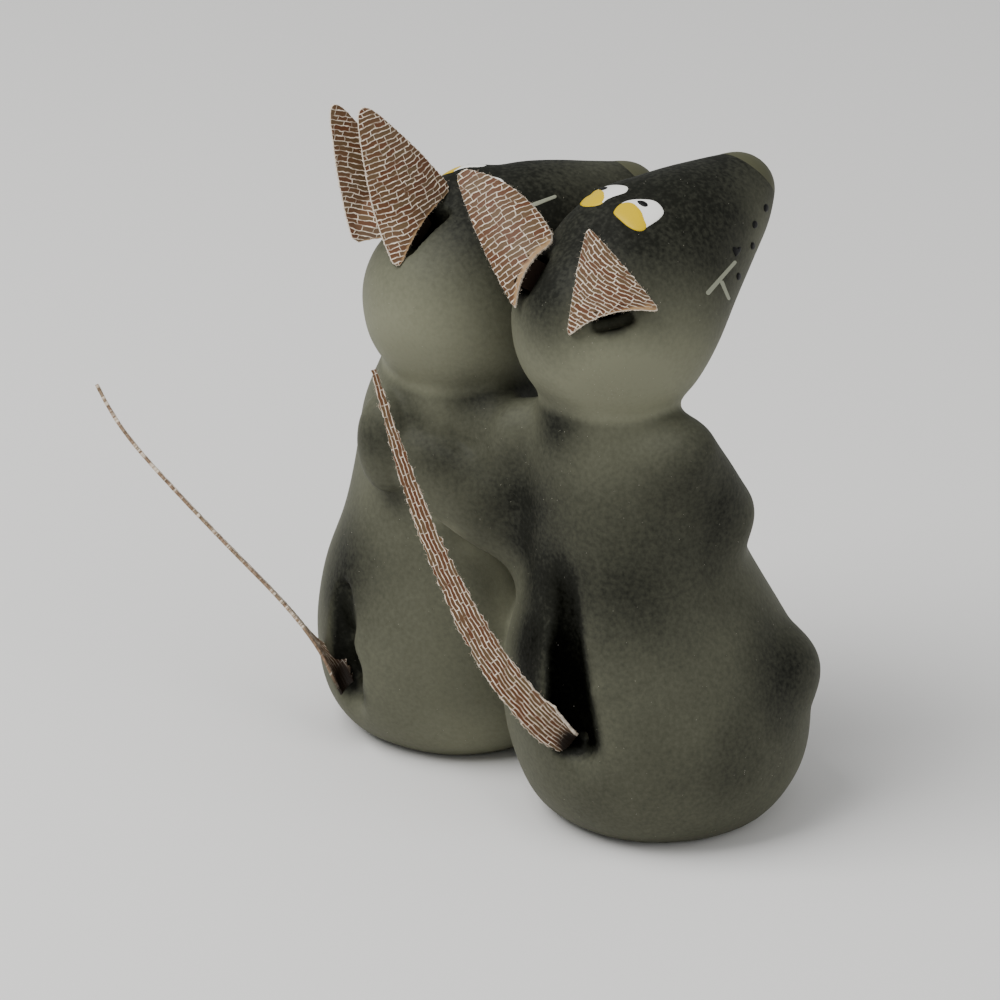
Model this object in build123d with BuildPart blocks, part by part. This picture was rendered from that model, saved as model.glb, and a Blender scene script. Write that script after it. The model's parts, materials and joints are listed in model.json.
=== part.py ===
import os
from math import acos, cos, degrees, radians, sin

from build123d import *

os.makedirs("parts", exist_ok=True)

# Two clay mice sit side by side and lean together, cheek to cheek.
# They face -Y, Z is up, and the origin is the centre of the hugging mouse's seat.
# "Left" and "right" are the mouse's own: the left side is towards +X.

# Clay bodies: a flat seat, a round belly and a neck that leans in to the other mouse
body_height = 74.0
body_depth = 51.0
body_width = 50.0
hugging_seat = Vector(0, 0, 0)
spacing_share = 0.93
setback_share = 0.0235
hugged_seat = Vector(spacing_share * body_width, setback_share * body_depth, 0)
hugging_facing = -80.0
hugged_facing = -98.0

# One row for each station up a body, as shares of its height, depth and width:
# height, place forward, lean inward, depth and width
hugging_body_shares = [
    (0.0, 0.0, 0.0, 0.67, 0.68),
    (0.068, 0.0, 0.0, 0.88, 0.88),
    (0.19, 0.0, 0.006, 1.0, 0.99),
    (0.324, -0.01, 0.02, 0.99, 0.99),
    (0.46, -0.024, 0.04, 0.875, 0.86),
    (0.595, -0.043, 0.068, 0.718, 0.70),
    (0.703, -0.063, 0.092, 0.635, 0.64),
    (0.811, -0.082, 0.12, 0.56, 0.58),
    (0.905, -0.098, 0.144, 0.47, 0.49),
    (1.0, -0.102, 0.16, 0.43, 0.44),
]
hugged_body_shares = [
    (0.0, 0.0, 0.0, 0.65, 0.66),
    (0.068, 0.0, 0.0, 0.84, 0.86),
    (0.19, 0.0, 0.006, 0.94, 0.96),
    (0.324, -0.006, 0.02, 0.925, 0.96),
    (0.46, -0.02, 0.04, 0.825, 0.85),
    (0.595, -0.035, 0.068, 0.725, 0.74),
    (0.703, -0.05, 0.092, 0.675, 0.705),
    (0.811, -0.067, 0.12, 0.635, 0.665),
    (0.905, -0.07, 0.144, 0.57, 0.60),
    (1.0, -0.06, 0.16, 0.51, 0.52),
]

# Heads: a ball that draws out to a blunt nose. A centre is given as shares of the body's
# depth, width and height.
ball_radius = 16.3
nose_radius = 6.5
nose_reach = 32.0
hugging_head_shares = (-0.0776, 0.15, 1.135)
hugged_head_shares = (-0.105, -0.1726, 1.081)
hugging_gaze = (-90.0, 27.5, 0.0)
hugged_gaze = (-109.0, 23.0, -8.0)

# One row for each station along a snout, as shares of the nose reach and the ball
# radius: distance from the ball's centre, lift, half width and half height
snout_shares = [
    (0.0, 0.0, 1.0, 1.0),
    (0.26, 0.06, 0.945, 0.955),
    (0.52, 0.115, 0.805, 0.835),
    (0.78, 0.07, 0.62, 0.645),
]
back_ring_angles = (20, 40, 62)
nose_ring_angles = (68, 45, 22)

# Legs: a thigh that bulges at the side of the belly, with the foot in front of it.
# Places are shares of the body's depth, width and height.
hip_shares = (0.10, 0.285, 0.325)
sole_shares = (0.33, 0.16, 0.054)
thigh_length = 25.0
thigh_radius = 10.0
thigh_turn = 25.0
foot_length = 18.0
foot_radius = 5.0

# Folded arms: shoulder, elbow and paw as shares of body depth, width and height
arm_radius = 6.0
elbow_radius = 5.8
paw_radius = 4.2
hugging_arm_shares = [(-0.12, 0.14, 0.88), (0.06, 0.17, 0.71), (0.22, 0.03, 0.69)]
hugged_arm_shares = [(-0.06, 0.13, 0.80), (0.06, 0.17, 0.69), (0.22, 0.03, 0.67)]

# The arm round the other mouse's back, in that mouse's own shares, from the shoulder
# out to the wrist, then the hand
hug_thickness = 7.6
hug_height = 14.5
hug_path_shares = [
    (-0.08, -0.60, 0.683),
    (-0.17, -0.54, 0.672),
    (-0.23, -0.47, 0.674),
    (-0.28, -0.38, 0.705),
    (-0.324, -0.287, 0.742),
    (-0.35, -0.19, 0.768),
]
hug_height_shares = [1.9, 1.45, 1.02, 0.95, 0.86, 0.83]
hand_shares = (-0.376, -0.144, 0.779)
hand_length = 18.0
hand_radius = 5.2

# The dent down each back: its low end, where the tail leaves, and its high end
dent_low_radius = 4.2
dent_high_radius = 2.2
hugging_dent_shares = [(-0.508, 0.002, 0.268), (-0.388, 0.134, 0.63)]
hugged_dent_shares = [(-0.469, -0.002, 0.15), (-0.449, 0.02, 0.38)]

# Leather of the ears and tails
leather = 0.9
ear_width = 17.0
ear_cup_radius = 12.0
ear_arch = 1.3
ear_lift = 2.5
ear_corner_radius = 0.7
strap_width = 5.0
strap_depth = 4.0
strap_thinning_share = 0.6
slit_width_share = 0.3
slit_drop_share = 0.2

# Ears, with places as shares of the ball radius in the head's own frame: root, tip,
# turn and tilt that the back of the ear faces, and lean of the tip. Then, as shares of
# the widest ear, the leaf's width, the slit's length, the swell of both sides and the
# radius of the tip.
hugging_ear_shares = {
    "right": ((-0.39, -0.6, 0.7), (0.04, -0.2, 1.34), (130, 19), 0, 0.9, 0.42, 0.01, 0.01, 0.04),
    "left": ((-0.345, 0.48, 0.808), (0.03, 1.52, 1.56), (115, 31), 26, 0.74, 0.4, 0.05, 0.17, 0.08),
}
hugged_ear_shares = {
    "right": ((-0.12, -0.12, 0.97), (-0.04, 0.08, 2.38), (151, 12), 28, 1.0, 0.64, 0.06, 0.04, 0.12),
    "left": ((-0.16, 0.6, 0.8), (-0.12, 0.66, 2.36), (151, 12), -15, 0.82, 0.4, 0.05, 0.04, 0.12),
}

# Tails: a leather strip that narrows to its point, rolled up at the root. A route is
# given as shares of how far the tail reaches to its mouse's left and how high it rises.
tail_root_width = 6.2
tail_point_width = 1.4
tail_face = (135.0, 23.3)
roll_radius = 1.5
socket_depth = 7.0
socket_clearance = 0.15
hugging_tail_reach = 32.2
hugging_tail_rise = 61.5
hugging_tail_shares = [(0, 0), (0.25, 0.12), (0.60, 0.416), (0.832, 0.712), (1, 1)]
hugged_tail_reach = 41.4
hugged_tail_rise = 51.5
hugged_tail_shares = [(0, 0), (0.14, 0.188), (0.425, 0.44), (0.71, 0.68), (0.937, 0.907), (1, 1)]

# Cutters run past what they cut by this much
overrun = 6.0

quarter_turn = 90.0
half_turn = 180.0


def pointing(turn, tilt):
    """Unit vector at a turn about Z from +X, raised by a tilt, in degrees."""
    return Vector(
        cos(radians(tilt)) * cos(radians(turn)),
        cos(radians(tilt)) * sin(radians(turn)),
        sin(radians(tilt)),
    )


def seat_plane(seat, facing):
    """Ground plane of a mouse: its x is forward and its y is the mouse's left."""
    return Plane(origin=seat, x_dir=pointing(facing, 0), z_dir=(0, 0, 1))


def head_plane(centre, gaze):
    """Plane of a head: its x is along the snout, its y left and its z the crown."""
    turn, tilt, roll = gaze
    forward = pointing(turn, tilt)
    left = pointing(turn + quarter_turn, 0)
    crown = forward.cross(left).rotate(Axis((0, 0, 0), forward), roll)
    return Plane(origin=centre, x_dir=forward, z_dir=crown)


def limb(start, end, start_radius, end_radius):
    """Tapered round limb between two points, with a ball at each end."""
    length = (end - start).length
    along = (end - start).normalized()
    swell = degrees(acos((start_radius - end_radius) / length))
    with BuildPart() as piece:
        with BuildSketch(Plane(origin=start, x_dir=along, z_dir=along.cross(Vector(0, 0, 1)))):
            with BuildLine():
                back = CenterArc((0, 0), start_radius, swell, half_turn - swell)
                front = CenterArc((length, 0), end_radius, 0, swell)
                Line(back @ 0, front @ 1)
                Line(back @ 1, front @ 0)
            make_face()
        revolve(axis=Axis(start, along))
    return piece.part


def lump(plane, length, radius):
    """Egg-shaped lump of clay whose long axis is the plane's x."""
    with BuildPart() as piece:
        with BuildSketch(plane):
            Ellipse(length / 2, radius)
            Rectangle(length, radius, align=(Align.CENTER, Align.MAX), mode=Mode.SUBTRACT)
        revolve(axis=Axis(plane.origin, plane.x_dir))
    return piece.part


def body_point(ground, shares, side=1):
    """Point in a mouse's frame from shares of its body's depth, width and height."""
    forward, out, height = shares
    return ground.from_local_coords(
        Vector(forward * body_depth, side * out * body_width, height * body_height)
    )


def leg(ground, side):
    """Thigh and foot of one leg; side is 1 for the left leg and -1 for the right."""
    hip = body_point(ground, hip_shares, side)
    sole = body_point(ground, sole_shares, side)
    knee_way = ground.x_dir.rotate(Axis((0, 0, 0), (0, 0, 1)), side * thigh_turn)
    thigh = lump(Plane(origin=hip, x_dir=knee_way, z_dir=(0, 0, 1)), thigh_length, thigh_radius)
    foot = lump(Plane(origin=sole, x_dir=ground.x_dir, z_dir=(0, 0, 1)), foot_length, foot_radius)
    return [thigh, foot]


def body_shape(ground, shares, inward):
    """Body of one mouse with both legs; inward is 1 or -1, the side it leans to."""
    legs = leg(ground, 1) + leg(ground, -1)
    with BuildPart() as body:
        for height, forward, lean, depth, width in shares:
            with BuildSketch(ground.offset(height * body_height)):
                with Locations((forward * body_depth, inward * lean * body_width)):
                    Ellipse(depth * body_depth / 2, width * body_width / 2)
        loft()
        add(legs)
        split(bisect_by=ground, keep=Keep.TOP)
    return body.part


def head_shape(skull):
    """Head of one mouse: the ball at the back, the snout and the round nose."""
    back = [(-cos(a), 0, sin(a), sin(a)) for a in map(radians, back_ring_angles)]
    rows = [(x * ball_radius, 0, w * ball_radius, h * ball_radius) for x, _, w, h in back]
    rows += [
        (x * nose_reach, lift * ball_radius, w * ball_radius, h * ball_radius)
        for x, lift, w, h in snout_shares
    ]
    for angle in map(radians, nose_ring_angles):
        girth = nose_radius * sin(angle)
        rows.append((nose_reach + nose_radius * cos(angle), 0, girth, girth))
    rings = []
    for reach, lift, half_width, half_height in rows:
        centre = skull.from_local_coords(Vector(reach, 0, lift))
        with BuildSketch(Plane(origin=centre, x_dir=skull.y_dir, z_dir=skull.x_dir)) as ring:
            Ellipse(half_width, half_height)
        rings.append(ring.sketch)
    nape = Vertex(*skull.from_local_coords(Vector(-ball_radius, 0, 0)))
    nose = Vertex(*skull.from_local_coords(Vector(nose_reach + nose_radius, 0, 0)))
    with BuildPart() as head:
        loft([nape, *rings, nose])
    return head.part


def folded_arm(ground, arm_shares, side):
    """Arm folded on the chest; side is 1 for the left arm and -1 for the right."""
    shoulder, elbow, paw = [body_point(ground, place, side) for place in arm_shares]
    with BuildPart() as arm:
        add(limb(shoulder, elbow, arm_radius, elbow_radius))
        add(limb(elbow, paw, elbow_radius, paw_radius))
    return arm.part


def hugging_arm(ground):
    """Arm and hand that lie round the back of the mouse on this ground plane."""
    route = [body_point(ground, shares) for shares in hug_path_shares]
    rings = []
    for index, point in enumerate(route):
        before = route[max(index - 1, 0)]
        after = route[min(index + 1, len(route) - 1)]
        along = (after - before).normalized()
        across = along.cross(Vector(0, 0, 1)).normalized()
        with BuildSketch(Plane(origin=point, x_dir=across, z_dir=along)) as ring:
            Ellipse(hug_thickness / 2, hug_height * hug_height_shares[index] / 2)
        rings.append(ring.sketch)
    hand_centre = body_point(ground, hand_shares)
    hand_plane = Plane(origin=hand_centre, x_dir=(0, 0, 1), z_dir=ground.x_dir)
    with BuildPart() as arm:
        loft(rings)
        add(lump(hand_plane, hand_length, hand_radius))
    return arm.part


def dent(ground, shares):
    """Tear-shaped dent down the back, with the tail's socket at its low end."""
    low, high = [body_point(ground, place) for place in shares]
    with BuildPart() as cutter:
        add(limb(low, high, dent_low_radius, dent_high_radius))
        with BuildSketch(Plane(origin=low, z_dir=ground.x_dir)):
            Circle(roll_radius + socket_clearance)
        extrude(amount=socket_depth)
    return cutter.part


def ear_planes(skull, shares):
    """Planes of an ear's leaf, of its cup's end and of its slit, and its tip on the leaf."""
    root_share, tip_share, face, lean, _, slit_share = shares[:6]
    root = skull.from_local_coords(Vector(*root_share) * ball_radius)
    tip = skull.from_local_coords(Vector(*tip_share) * ball_radius)
    outward = (root - skull.origin).normalized()
    face_way = pointing(*face)
    middle = root + face_way * ear_lift
    tip_way = (tip - middle).normalized()
    back = (face_way - tip_way * face_way.dot(tip_way)).normalized()
    side = tip_way.rotate(Axis((0, 0, 0), back), lean).cross(back)
    leaf_plane = Plane(origin=middle, x_dir=side, z_dir=back)
    cup_plane = Plane(origin=middle - tip_way * overrun, x_dir=tip_way.cross(back), z_dir=tip_way)
    mouth = Plane(origin=root, x_dir=side - outward * side.dot(outward), z_dir=outward)
    slit_plane = mouth.shift_origin(
        root - mouth.y_dir * (ear_width * slit_share * slit_drop_share)
    )
    return leaf_plane, cup_plane, slit_plane, leaf_plane.to_local_coords(tip)


def slit(skull, shares):
    """Cutter for the slit that an ear is glued in."""
    slit_plane = ear_planes(skull, shares)[2]
    slit_length = ear_width * shares[5]
    with BuildPart() as cutter:
        with BuildSketch(slit_plane.offset(-strap_depth)):
            SlotOverall(slit_length, slit_length * slit_width_share)
        extrude(amount=strap_depth + overrun)
    return cutter.part


def swollen_side(start, end, swell):
    """Side of an ear that swells outwards from a straight line."""
    run = Vector(end) - Vector(start)
    outwards = Vector(run.Y, -run.X).normalized()
    middle = Vector(start) + run / 2 + outwards * swell
    ThreePointArc(start, (middle.X, middle.Y), end)


def ear(skull, shares, head):
    """Cupped leather leaf with the strap that goes down into the head."""
    leaf_plane, cup_plane, slit_plane, tip = ear_planes(skull, shares)
    left_swell, right_swell, tip_radius = [ear_width * share for share in shares[6:]]
    half = ear_width * shares[4] / 2
    corners = [(-half, -ear_arch), (half, -ear_arch)]
    with BuildPart() as leaf:
        with BuildSketch(cup_plane):
            with Locations((0, ear_cup_radius)):
                Circle(ear_cup_radius)
                Circle(ear_cup_radius - leather, mode=Mode.SUBTRACT)
        extrude(amount=tip.length + overrun * 2)
        with BuildSketch(leaf_plane) as outline:
            with BuildLine():
                ThreePointArc(corners[0], (0, 0), corners[1])
                swollen_side(corners[1], (tip.X, tip.Y), right_swell)
                swollen_side((tip.X, tip.Y), corners[0], left_swell)
            make_face()
            low_corners = outline.vertices().sort_by(Axis.Y)[:-1]
            fillet(outline.vertices().sort_by(Axis.Y)[-1], tip_radius)
            fillet(low_corners, ear_corner_radius)
        extrude(amount=ear_cup_radius + overrun, both=True, mode=Mode.INTERSECT)
    slit_floor = slit_plane.offset(-strap_depth)
    seam = leaf_plane.from_local_coords(Vector(0, leather, -leather / 2))
    seam_plane = Plane(origin=seam, x_dir=leaf_plane.x_dir, z_dir=seam - slit_floor.origin)
    with BuildSketch(slit_floor) as sunk_end:
        SlotOverall(strap_width, leather)
    with BuildSketch(seam_plane) as sewn_end:
        SlotOverall(strap_width, leather * strap_thinning_share)
    with BuildPart() as whole:
        add(leaf.part)
        loft([sunk_end.sketch, sewn_end.sketch], ruled=True)
        add(head, mode=Mode.SUBTRACT)
    return whole.part


def tail(ground, dent_shares, reach, rise, route_shares, flat_on):
    """Leather tail with its root rolled up in the socket of its mouse's dent."""
    root = body_point(ground, dent_shares[0])
    turn, tilt = tail_face
    level = pointing(turn + quarter_turn, 0)
    plane = Plane(origin=root, x_dir=level, z_dir=pointing(turn, tilt))
    with BuildLine(plane) as route:
        Spline(*[(-out * reach, up * rise) for out, up in route_shares])
    rings = []
    for station in range(len(route_shares)):
        share = station / (len(route_shares) - 1)
        width = tail_root_width + (tail_point_width - tail_root_width) * share
        along = route.line % share
        across = plane.z_dir if flat_on else plane.z_dir.cross(along)
        with BuildSketch(Plane(origin=route.line @ share, x_dir=across, z_dir=along)) as ring:
            Rectangle(leather, width)
        rings.append(ring.sketch)
    with BuildPart() as whole:
        loft(rings)
        with BuildSketch(Plane(origin=root, z_dir=ground.x_dir)):
            Circle(roll_radius)
        extrude(amount=socket_depth)
        with Locations(root):
            Sphere(roll_radius)
    return whole.part


hugging_ground = seat_plane(hugging_seat, hugging_facing)
hugged_ground = seat_plane(hugged_seat, hugged_facing)
hugging_skull = head_plane(body_point(hugging_ground, hugging_head_shares), hugging_gaze)
hugged_skull = head_plane(body_point(hugged_ground, hugged_head_shares), hugged_gaze)

hugging_body = body_shape(hugging_ground, hugging_body_shares, 1)
hugged_body = body_shape(hugged_ground, hugged_body_shares, -1)
hugging_head = head_shape(hugging_skull)
hugged_head = head_shape(hugged_skull)

with BuildPart() as hugging_mouse_head:
    add(hugging_head)
    for shares in hugging_ear_shares.values():
        add(slit(hugging_skull, shares), mode=Mode.SUBTRACT)
hugging_mouse_head.part.label = "hugging_mouse_head"
export_step(hugging_mouse_head.part, "parts/hugging_mouse_head.step")

with BuildPart() as hugged_mouse_head:
    add(hugged_head)
    add(hugging_head, mode=Mode.SUBTRACT)
    for shares in hugged_ear_shares.values():
        add(slit(hugged_skull, shares), mode=Mode.SUBTRACT)
hugged_mouse_head.part.label = "hugged_mouse_head"
export_step(hugged_mouse_head.part, "parts/hugged_mouse_head.step")

with BuildPart() as hugging_mouse_body:
    add(hugging_body)
    add(hugging_head, mode=Mode.SUBTRACT)
    add(hugged_head, mode=Mode.SUBTRACT)
    add(dent(hugging_ground, hugging_dent_shares), mode=Mode.SUBTRACT)
hugging_mouse_body.part.label = "hugging_mouse_body"
export_step(hugging_mouse_body.part, "parts/hugging_mouse_body.step")

with BuildPart() as hugged_mouse_body:
    add(hugged_body)
    add(hugging_body, mode=Mode.SUBTRACT)
    add(hugged_head, mode=Mode.SUBTRACT)
    add(dent(hugged_ground, hugged_dent_shares), mode=Mode.SUBTRACT)
hugged_mouse_body.part.label = "hugged_mouse_body"
export_step(hugged_mouse_body.part, "parts/hugged_mouse_body.step")

# The arms are pressed on to the bodies and heads, so those shape their inner faces
clay = [hugging_body, hugged_body, hugging_head, hugged_head]

with BuildPart() as hugging_mouse_right_arm:
    add(folded_arm(hugging_ground, hugging_arm_shares, -1))
    add(clay, mode=Mode.SUBTRACT)
hugging_mouse_right_arm.part.label = "hugging_mouse_right_arm"
export_step(hugging_mouse_right_arm.part, "parts/hugging_mouse_right_arm.step")

with BuildPart() as hugging_mouse_left_arm:
    add(hugging_arm(hugged_ground))
    add(clay, mode=Mode.SUBTRACT)
hugging_mouse_left_arm.part.label = "hugging_mouse_left_arm"
export_step(hugging_mouse_left_arm.part, "parts/hugging_mouse_left_arm.step")

with BuildPart() as hugged_mouse_left_arm:
    add(folded_arm(hugged_ground, hugged_arm_shares, 1))
    add(clay, mode=Mode.SUBTRACT)
hugged_mouse_left_arm.part.label = "hugged_mouse_left_arm"
export_step(hugged_mouse_left_arm.part, "parts/hugged_mouse_left_arm.step")

with BuildPart() as hugging_mouse_tail:
    add(
        tail(
            hugging_ground,
            hugging_dent_shares,
            hugging_tail_reach,
            hugging_tail_rise,
            hugging_tail_shares,
            flat_on=True,
        )
    )
    add(hugging_mouse_body.part, mode=Mode.SUBTRACT)
hugging_mouse_tail.part.label = "hugging_mouse_tail"
export_step(hugging_mouse_tail.part, "parts/hugging_mouse_tail.step")

with BuildPart() as hugged_mouse_tail:
    add(
        tail(
            hugged_ground,
            hugged_dent_shares,
            hugged_tail_reach,
            hugged_tail_rise,
            hugged_tail_shares,
            flat_on=False,
        )
    )
    add(hugged_mouse_body.part, mode=Mode.SUBTRACT)
hugged_mouse_tail.part.label = "hugged_mouse_tail"
export_step(hugged_mouse_tail.part, "parts/hugged_mouse_tail.step")

for side, shares in hugging_ear_shares.items():
    name = f"hugging_mouse_{side}_ear"
    with BuildPart() as hugging_mouse_ear:
        add(ear(hugging_skull, shares, hugging_mouse_head.part))
    hugging_mouse_ear.part.label = name
    export_step(hugging_mouse_ear.part, f"parts/{name}.step")

for side, shares in hugged_ear_shares.items():
    name = f"hugged_mouse_{side}_ear"
    with BuildPart() as hugged_mouse_ear:
        add(ear(hugged_skull, shares, hugged_mouse_head.part))
    hugged_mouse_ear.part.label = name
    export_step(hugged_mouse_ear.part, f"parts/{name}.step")
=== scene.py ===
import json
import math

import bmesh
import bpy
import numpy as np
import openvdb
from mathutils import Matrix, Vector, noise
from mathutils.bvhtree import BVHTree

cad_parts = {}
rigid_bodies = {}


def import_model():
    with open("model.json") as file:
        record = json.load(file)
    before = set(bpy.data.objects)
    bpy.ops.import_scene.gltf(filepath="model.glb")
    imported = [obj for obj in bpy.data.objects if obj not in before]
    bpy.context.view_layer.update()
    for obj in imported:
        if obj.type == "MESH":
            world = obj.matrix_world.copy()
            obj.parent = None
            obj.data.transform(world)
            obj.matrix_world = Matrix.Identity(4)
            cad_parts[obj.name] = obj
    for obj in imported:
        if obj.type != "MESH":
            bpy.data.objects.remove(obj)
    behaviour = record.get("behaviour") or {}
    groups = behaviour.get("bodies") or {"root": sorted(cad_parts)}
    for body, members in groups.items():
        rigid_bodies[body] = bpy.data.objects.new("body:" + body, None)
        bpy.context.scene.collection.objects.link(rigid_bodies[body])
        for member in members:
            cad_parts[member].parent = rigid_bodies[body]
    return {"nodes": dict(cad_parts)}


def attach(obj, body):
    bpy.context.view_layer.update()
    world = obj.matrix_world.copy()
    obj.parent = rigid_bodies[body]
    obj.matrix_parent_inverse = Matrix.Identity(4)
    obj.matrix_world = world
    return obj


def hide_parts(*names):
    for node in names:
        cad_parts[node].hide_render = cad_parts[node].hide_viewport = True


# Two clay mice that cuddle, seen from behind: the hugging mouse is the near one.
# Everything is in metres. "Left" and "right" are the mouse's own.

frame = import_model()

mm = 0.001


def writeSize():
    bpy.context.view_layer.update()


writeSize()

# The camera stands where the photograph was taken from
photo = {
    "aim": Vector((42.29, -4.83, 39.11)) * mm,
    "distance": 0.845,
    "azimuth": 225.0,
    "elevation": 23.3,
    "lens": 180.0,
    "sensor": 36.0,
    "pixels": 1000.0,
    "clipStart": 10 * mm,
}


def wayOf(turn, tilt):  # unit vector at a turn about Z from +X, raised by a tilt
    turn, tilt = math.radians(turn), math.radians(tilt)
    level = math.cos(tilt)
    return Vector((level * math.cos(turn), level * math.sin(turn), math.sin(tilt)))


photoBack = wayOf(photo["azimuth"] - 90, photo["elevation"])
photoEye = photo["aim"] + photoBack * photo["distance"]
photoRight = Vector((0, 0, 1)).cross(photoBack).normalized()
photoUp = photoBack.cross(photoRight)


def rayAt(pixel):  # way from the camera through a pixel of the photograph
    half = photo["pixels"] / 2
    reach = photo["lens"] / photo["sensor"] * photo["pixels"]
    way = -photoBack * reach + photoRight * (pixel[0] - half) - photoUp * (pixel[1] - half)
    return way.normalized()


# Clay: the CAD lumps are pressed into one skin, as the real mouse pair was luted and fired
clay = {
    "grain": 0.6 * mm,  # spacing of the samples that the skin is drawn from
    "reach": 10 * mm,  # how far from a lump its distance is known
    "soften": 0.55 * mm,  # how far all creases are thumbed smooth
    "margin": 5 * mm,
    "weld": 0.002 * mm,
    "unevenness": 0.08 * mm,
    "bumpSpread": 5.0,  # in samples
    "bumpSeed": 7,
    "betweenMice": 1.0 * mm,
    "mice": [  # each mouse's lumps, and how much clay is worked into the crease round each
        [("hugging_mouse_body", 0.1 * mm), ("hugging_mouse_left_arm", 7.0 * mm),
         ("hugging_mouse_right_arm", 6.0 * mm), ("hugging_mouse_head", 1.6 * mm)],
        [("hugged_mouse_body", 0.1 * mm), ("hugged_mouse_left_arm", 6.0 * mm),
         ("hugged_mouse_head", 1.6 * mm)],
    ],
    "thumbSpread": 2.4 * mm,
}
bodySize = Vector((51.0, 50.0, 74.0)) * mm  # depth, width and height of a mouse's body
seats = {
    "hugging": {"seat": Vector((0, 0, 0)), "facing": -80.0},
    "hugged": {"seat": Vector((46.5, 1.2, 0)) * mm, "facing": -98.0},
}
# where legs are smoothed in, on either side: place as shares of the body, radius
thumbed = [((0.10, 0.285, 0.325), 15 * mm), ((0.4, 0.16, 0.06), 11 * mm)]
dents = {  # low and high end of the dent down each back, and the radius at either end
    "hugging": ((-0.508, 0.002, 0.268), (-0.388, 0.134, 0.63), 4.2 * mm, 2.2 * mm),
    "hugged": ((-0.469, -0.002, 0.15), (-0.449, 0.02, 0.38), 4.2 * mm, 2.2 * mm),
}
brows = [  # clay added over the left eyes: head, place in the photograph, radius, height
    ("hugging", (588, 203), 7 * mm, 0.9 * mm), ("hugged", (446, 185), 7.5 * mm, 2.3 * mm),
]
webs = [  # clay in the pocket between the mice: place in the photograph, distance, radius, height
    ((506, 430), 812 * mm, 6 * mm, 4 * mm), ((524, 425), 809 * mm, 5 * mm, 2.5 * mm),
]
softLips = {  # the right lip of a dent is worn soft: shares of the way up, and its radius
    "hugging": [(0.15, 5.5 * mm), (0.45, 5.5 * mm), (0.75, 6.5 * mm), (1.0, 7 * mm)],
    "hugged": [(0.3, 4 * mm), (0.8, 4 * mm)],
    "aside": 4.4 * mm,
    "narrowing": 1.2,
    "below": 4.0 * mm,  # and so is the pit under the tail
    "belowRadius": 3.6 * mm,
}
heads = {
    "hugging": {"centre": Vector((6.7, 5.2, 84.0)) * mm, "gaze": (-90.0, 27.5, 0.0)},
    "hugged": {"centre": Vector((38.7, 7.7, 80.0)) * mm, "gaze": (-109.0, 23.0, -8.0)},
}
ballRadius = 16.3 * mm


def headAxes(head):  # forward along the snout, left, and the crown
    turn, tilt, roll = heads[head]["gaze"]
    forward = wayOf(turn, tilt)
    left = wayOf(turn + 90, 0)
    crown = Matrix.Rotation(math.radians(roll), 3, forward) @ forward.cross(left)
    return forward, crown.cross(forward), crown


def onHead(head, shares):
    forward, left, crown = headAxes(head)
    place = forward * shares[0] + left * shares[1] + crown * shares[2]
    return heads[head]["centre"] + place * ballRadius


def onBody(mouse, shares):
    facing = seats[mouse]["facing"]
    forward, left = wayOf(facing, 0), wayOf(facing + 90, 0)
    return (seats[mouse]["seat"] + forward * shares[0] * bodySize[0]
            + left * shares[1] * bodySize[1] + Vector((0, 0, shares[2] * bodySize[2])))


def weldedCopy(node):  # points and triangles of a CAD node with its loose triangles joined
    shell = bmesh.new()
    shell.from_mesh(frame["nodes"][node].data)
    bmesh.ops.remove_doubles(shell, verts=shell.verts, dist=clay["weld"])
    bmesh.ops.triangulate(shell, faces=shell.faces)
    points = np.array([v.co[:] for v in shell.verts], dtype=np.float32)
    corners = np.array([[v.index for v in f.verts] for f in shell.faces], dtype=np.uint32)
    shell.free()
    return points, corners


def blurred(field, spread):  # Gaussian blur of a block of samples, one axis after another
    steps = int(math.ceil(3 * spread))
    weights = np.exp(-0.5 * (np.arange(-steps, steps + 1) / spread) ** 2)
    weights /= weights.sum()
    for axis in range(3):
        rim = [(steps, steps) if a == axis else (0, 0) for a in range(3)]
        padded = np.pad(field, rim, mode="edge")
        total = np.zeros_like(field)
        for step, weight in enumerate(weights):
            window = [slice(None)] * 3
            window[axis] = slice(step, step + field.shape[axis])
            total += weight * padded[tuple(window)]
        field = total
    return field


def luted(field, lump, crease):  # joins two lumps and fills the crease between them
    nearer = np.clip(0.5 + 0.5 * (lump - field) / crease, 0, 1)
    return lump * (1 - nearer) + field * nearer - crease * nearer * (1 - nearer)


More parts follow.
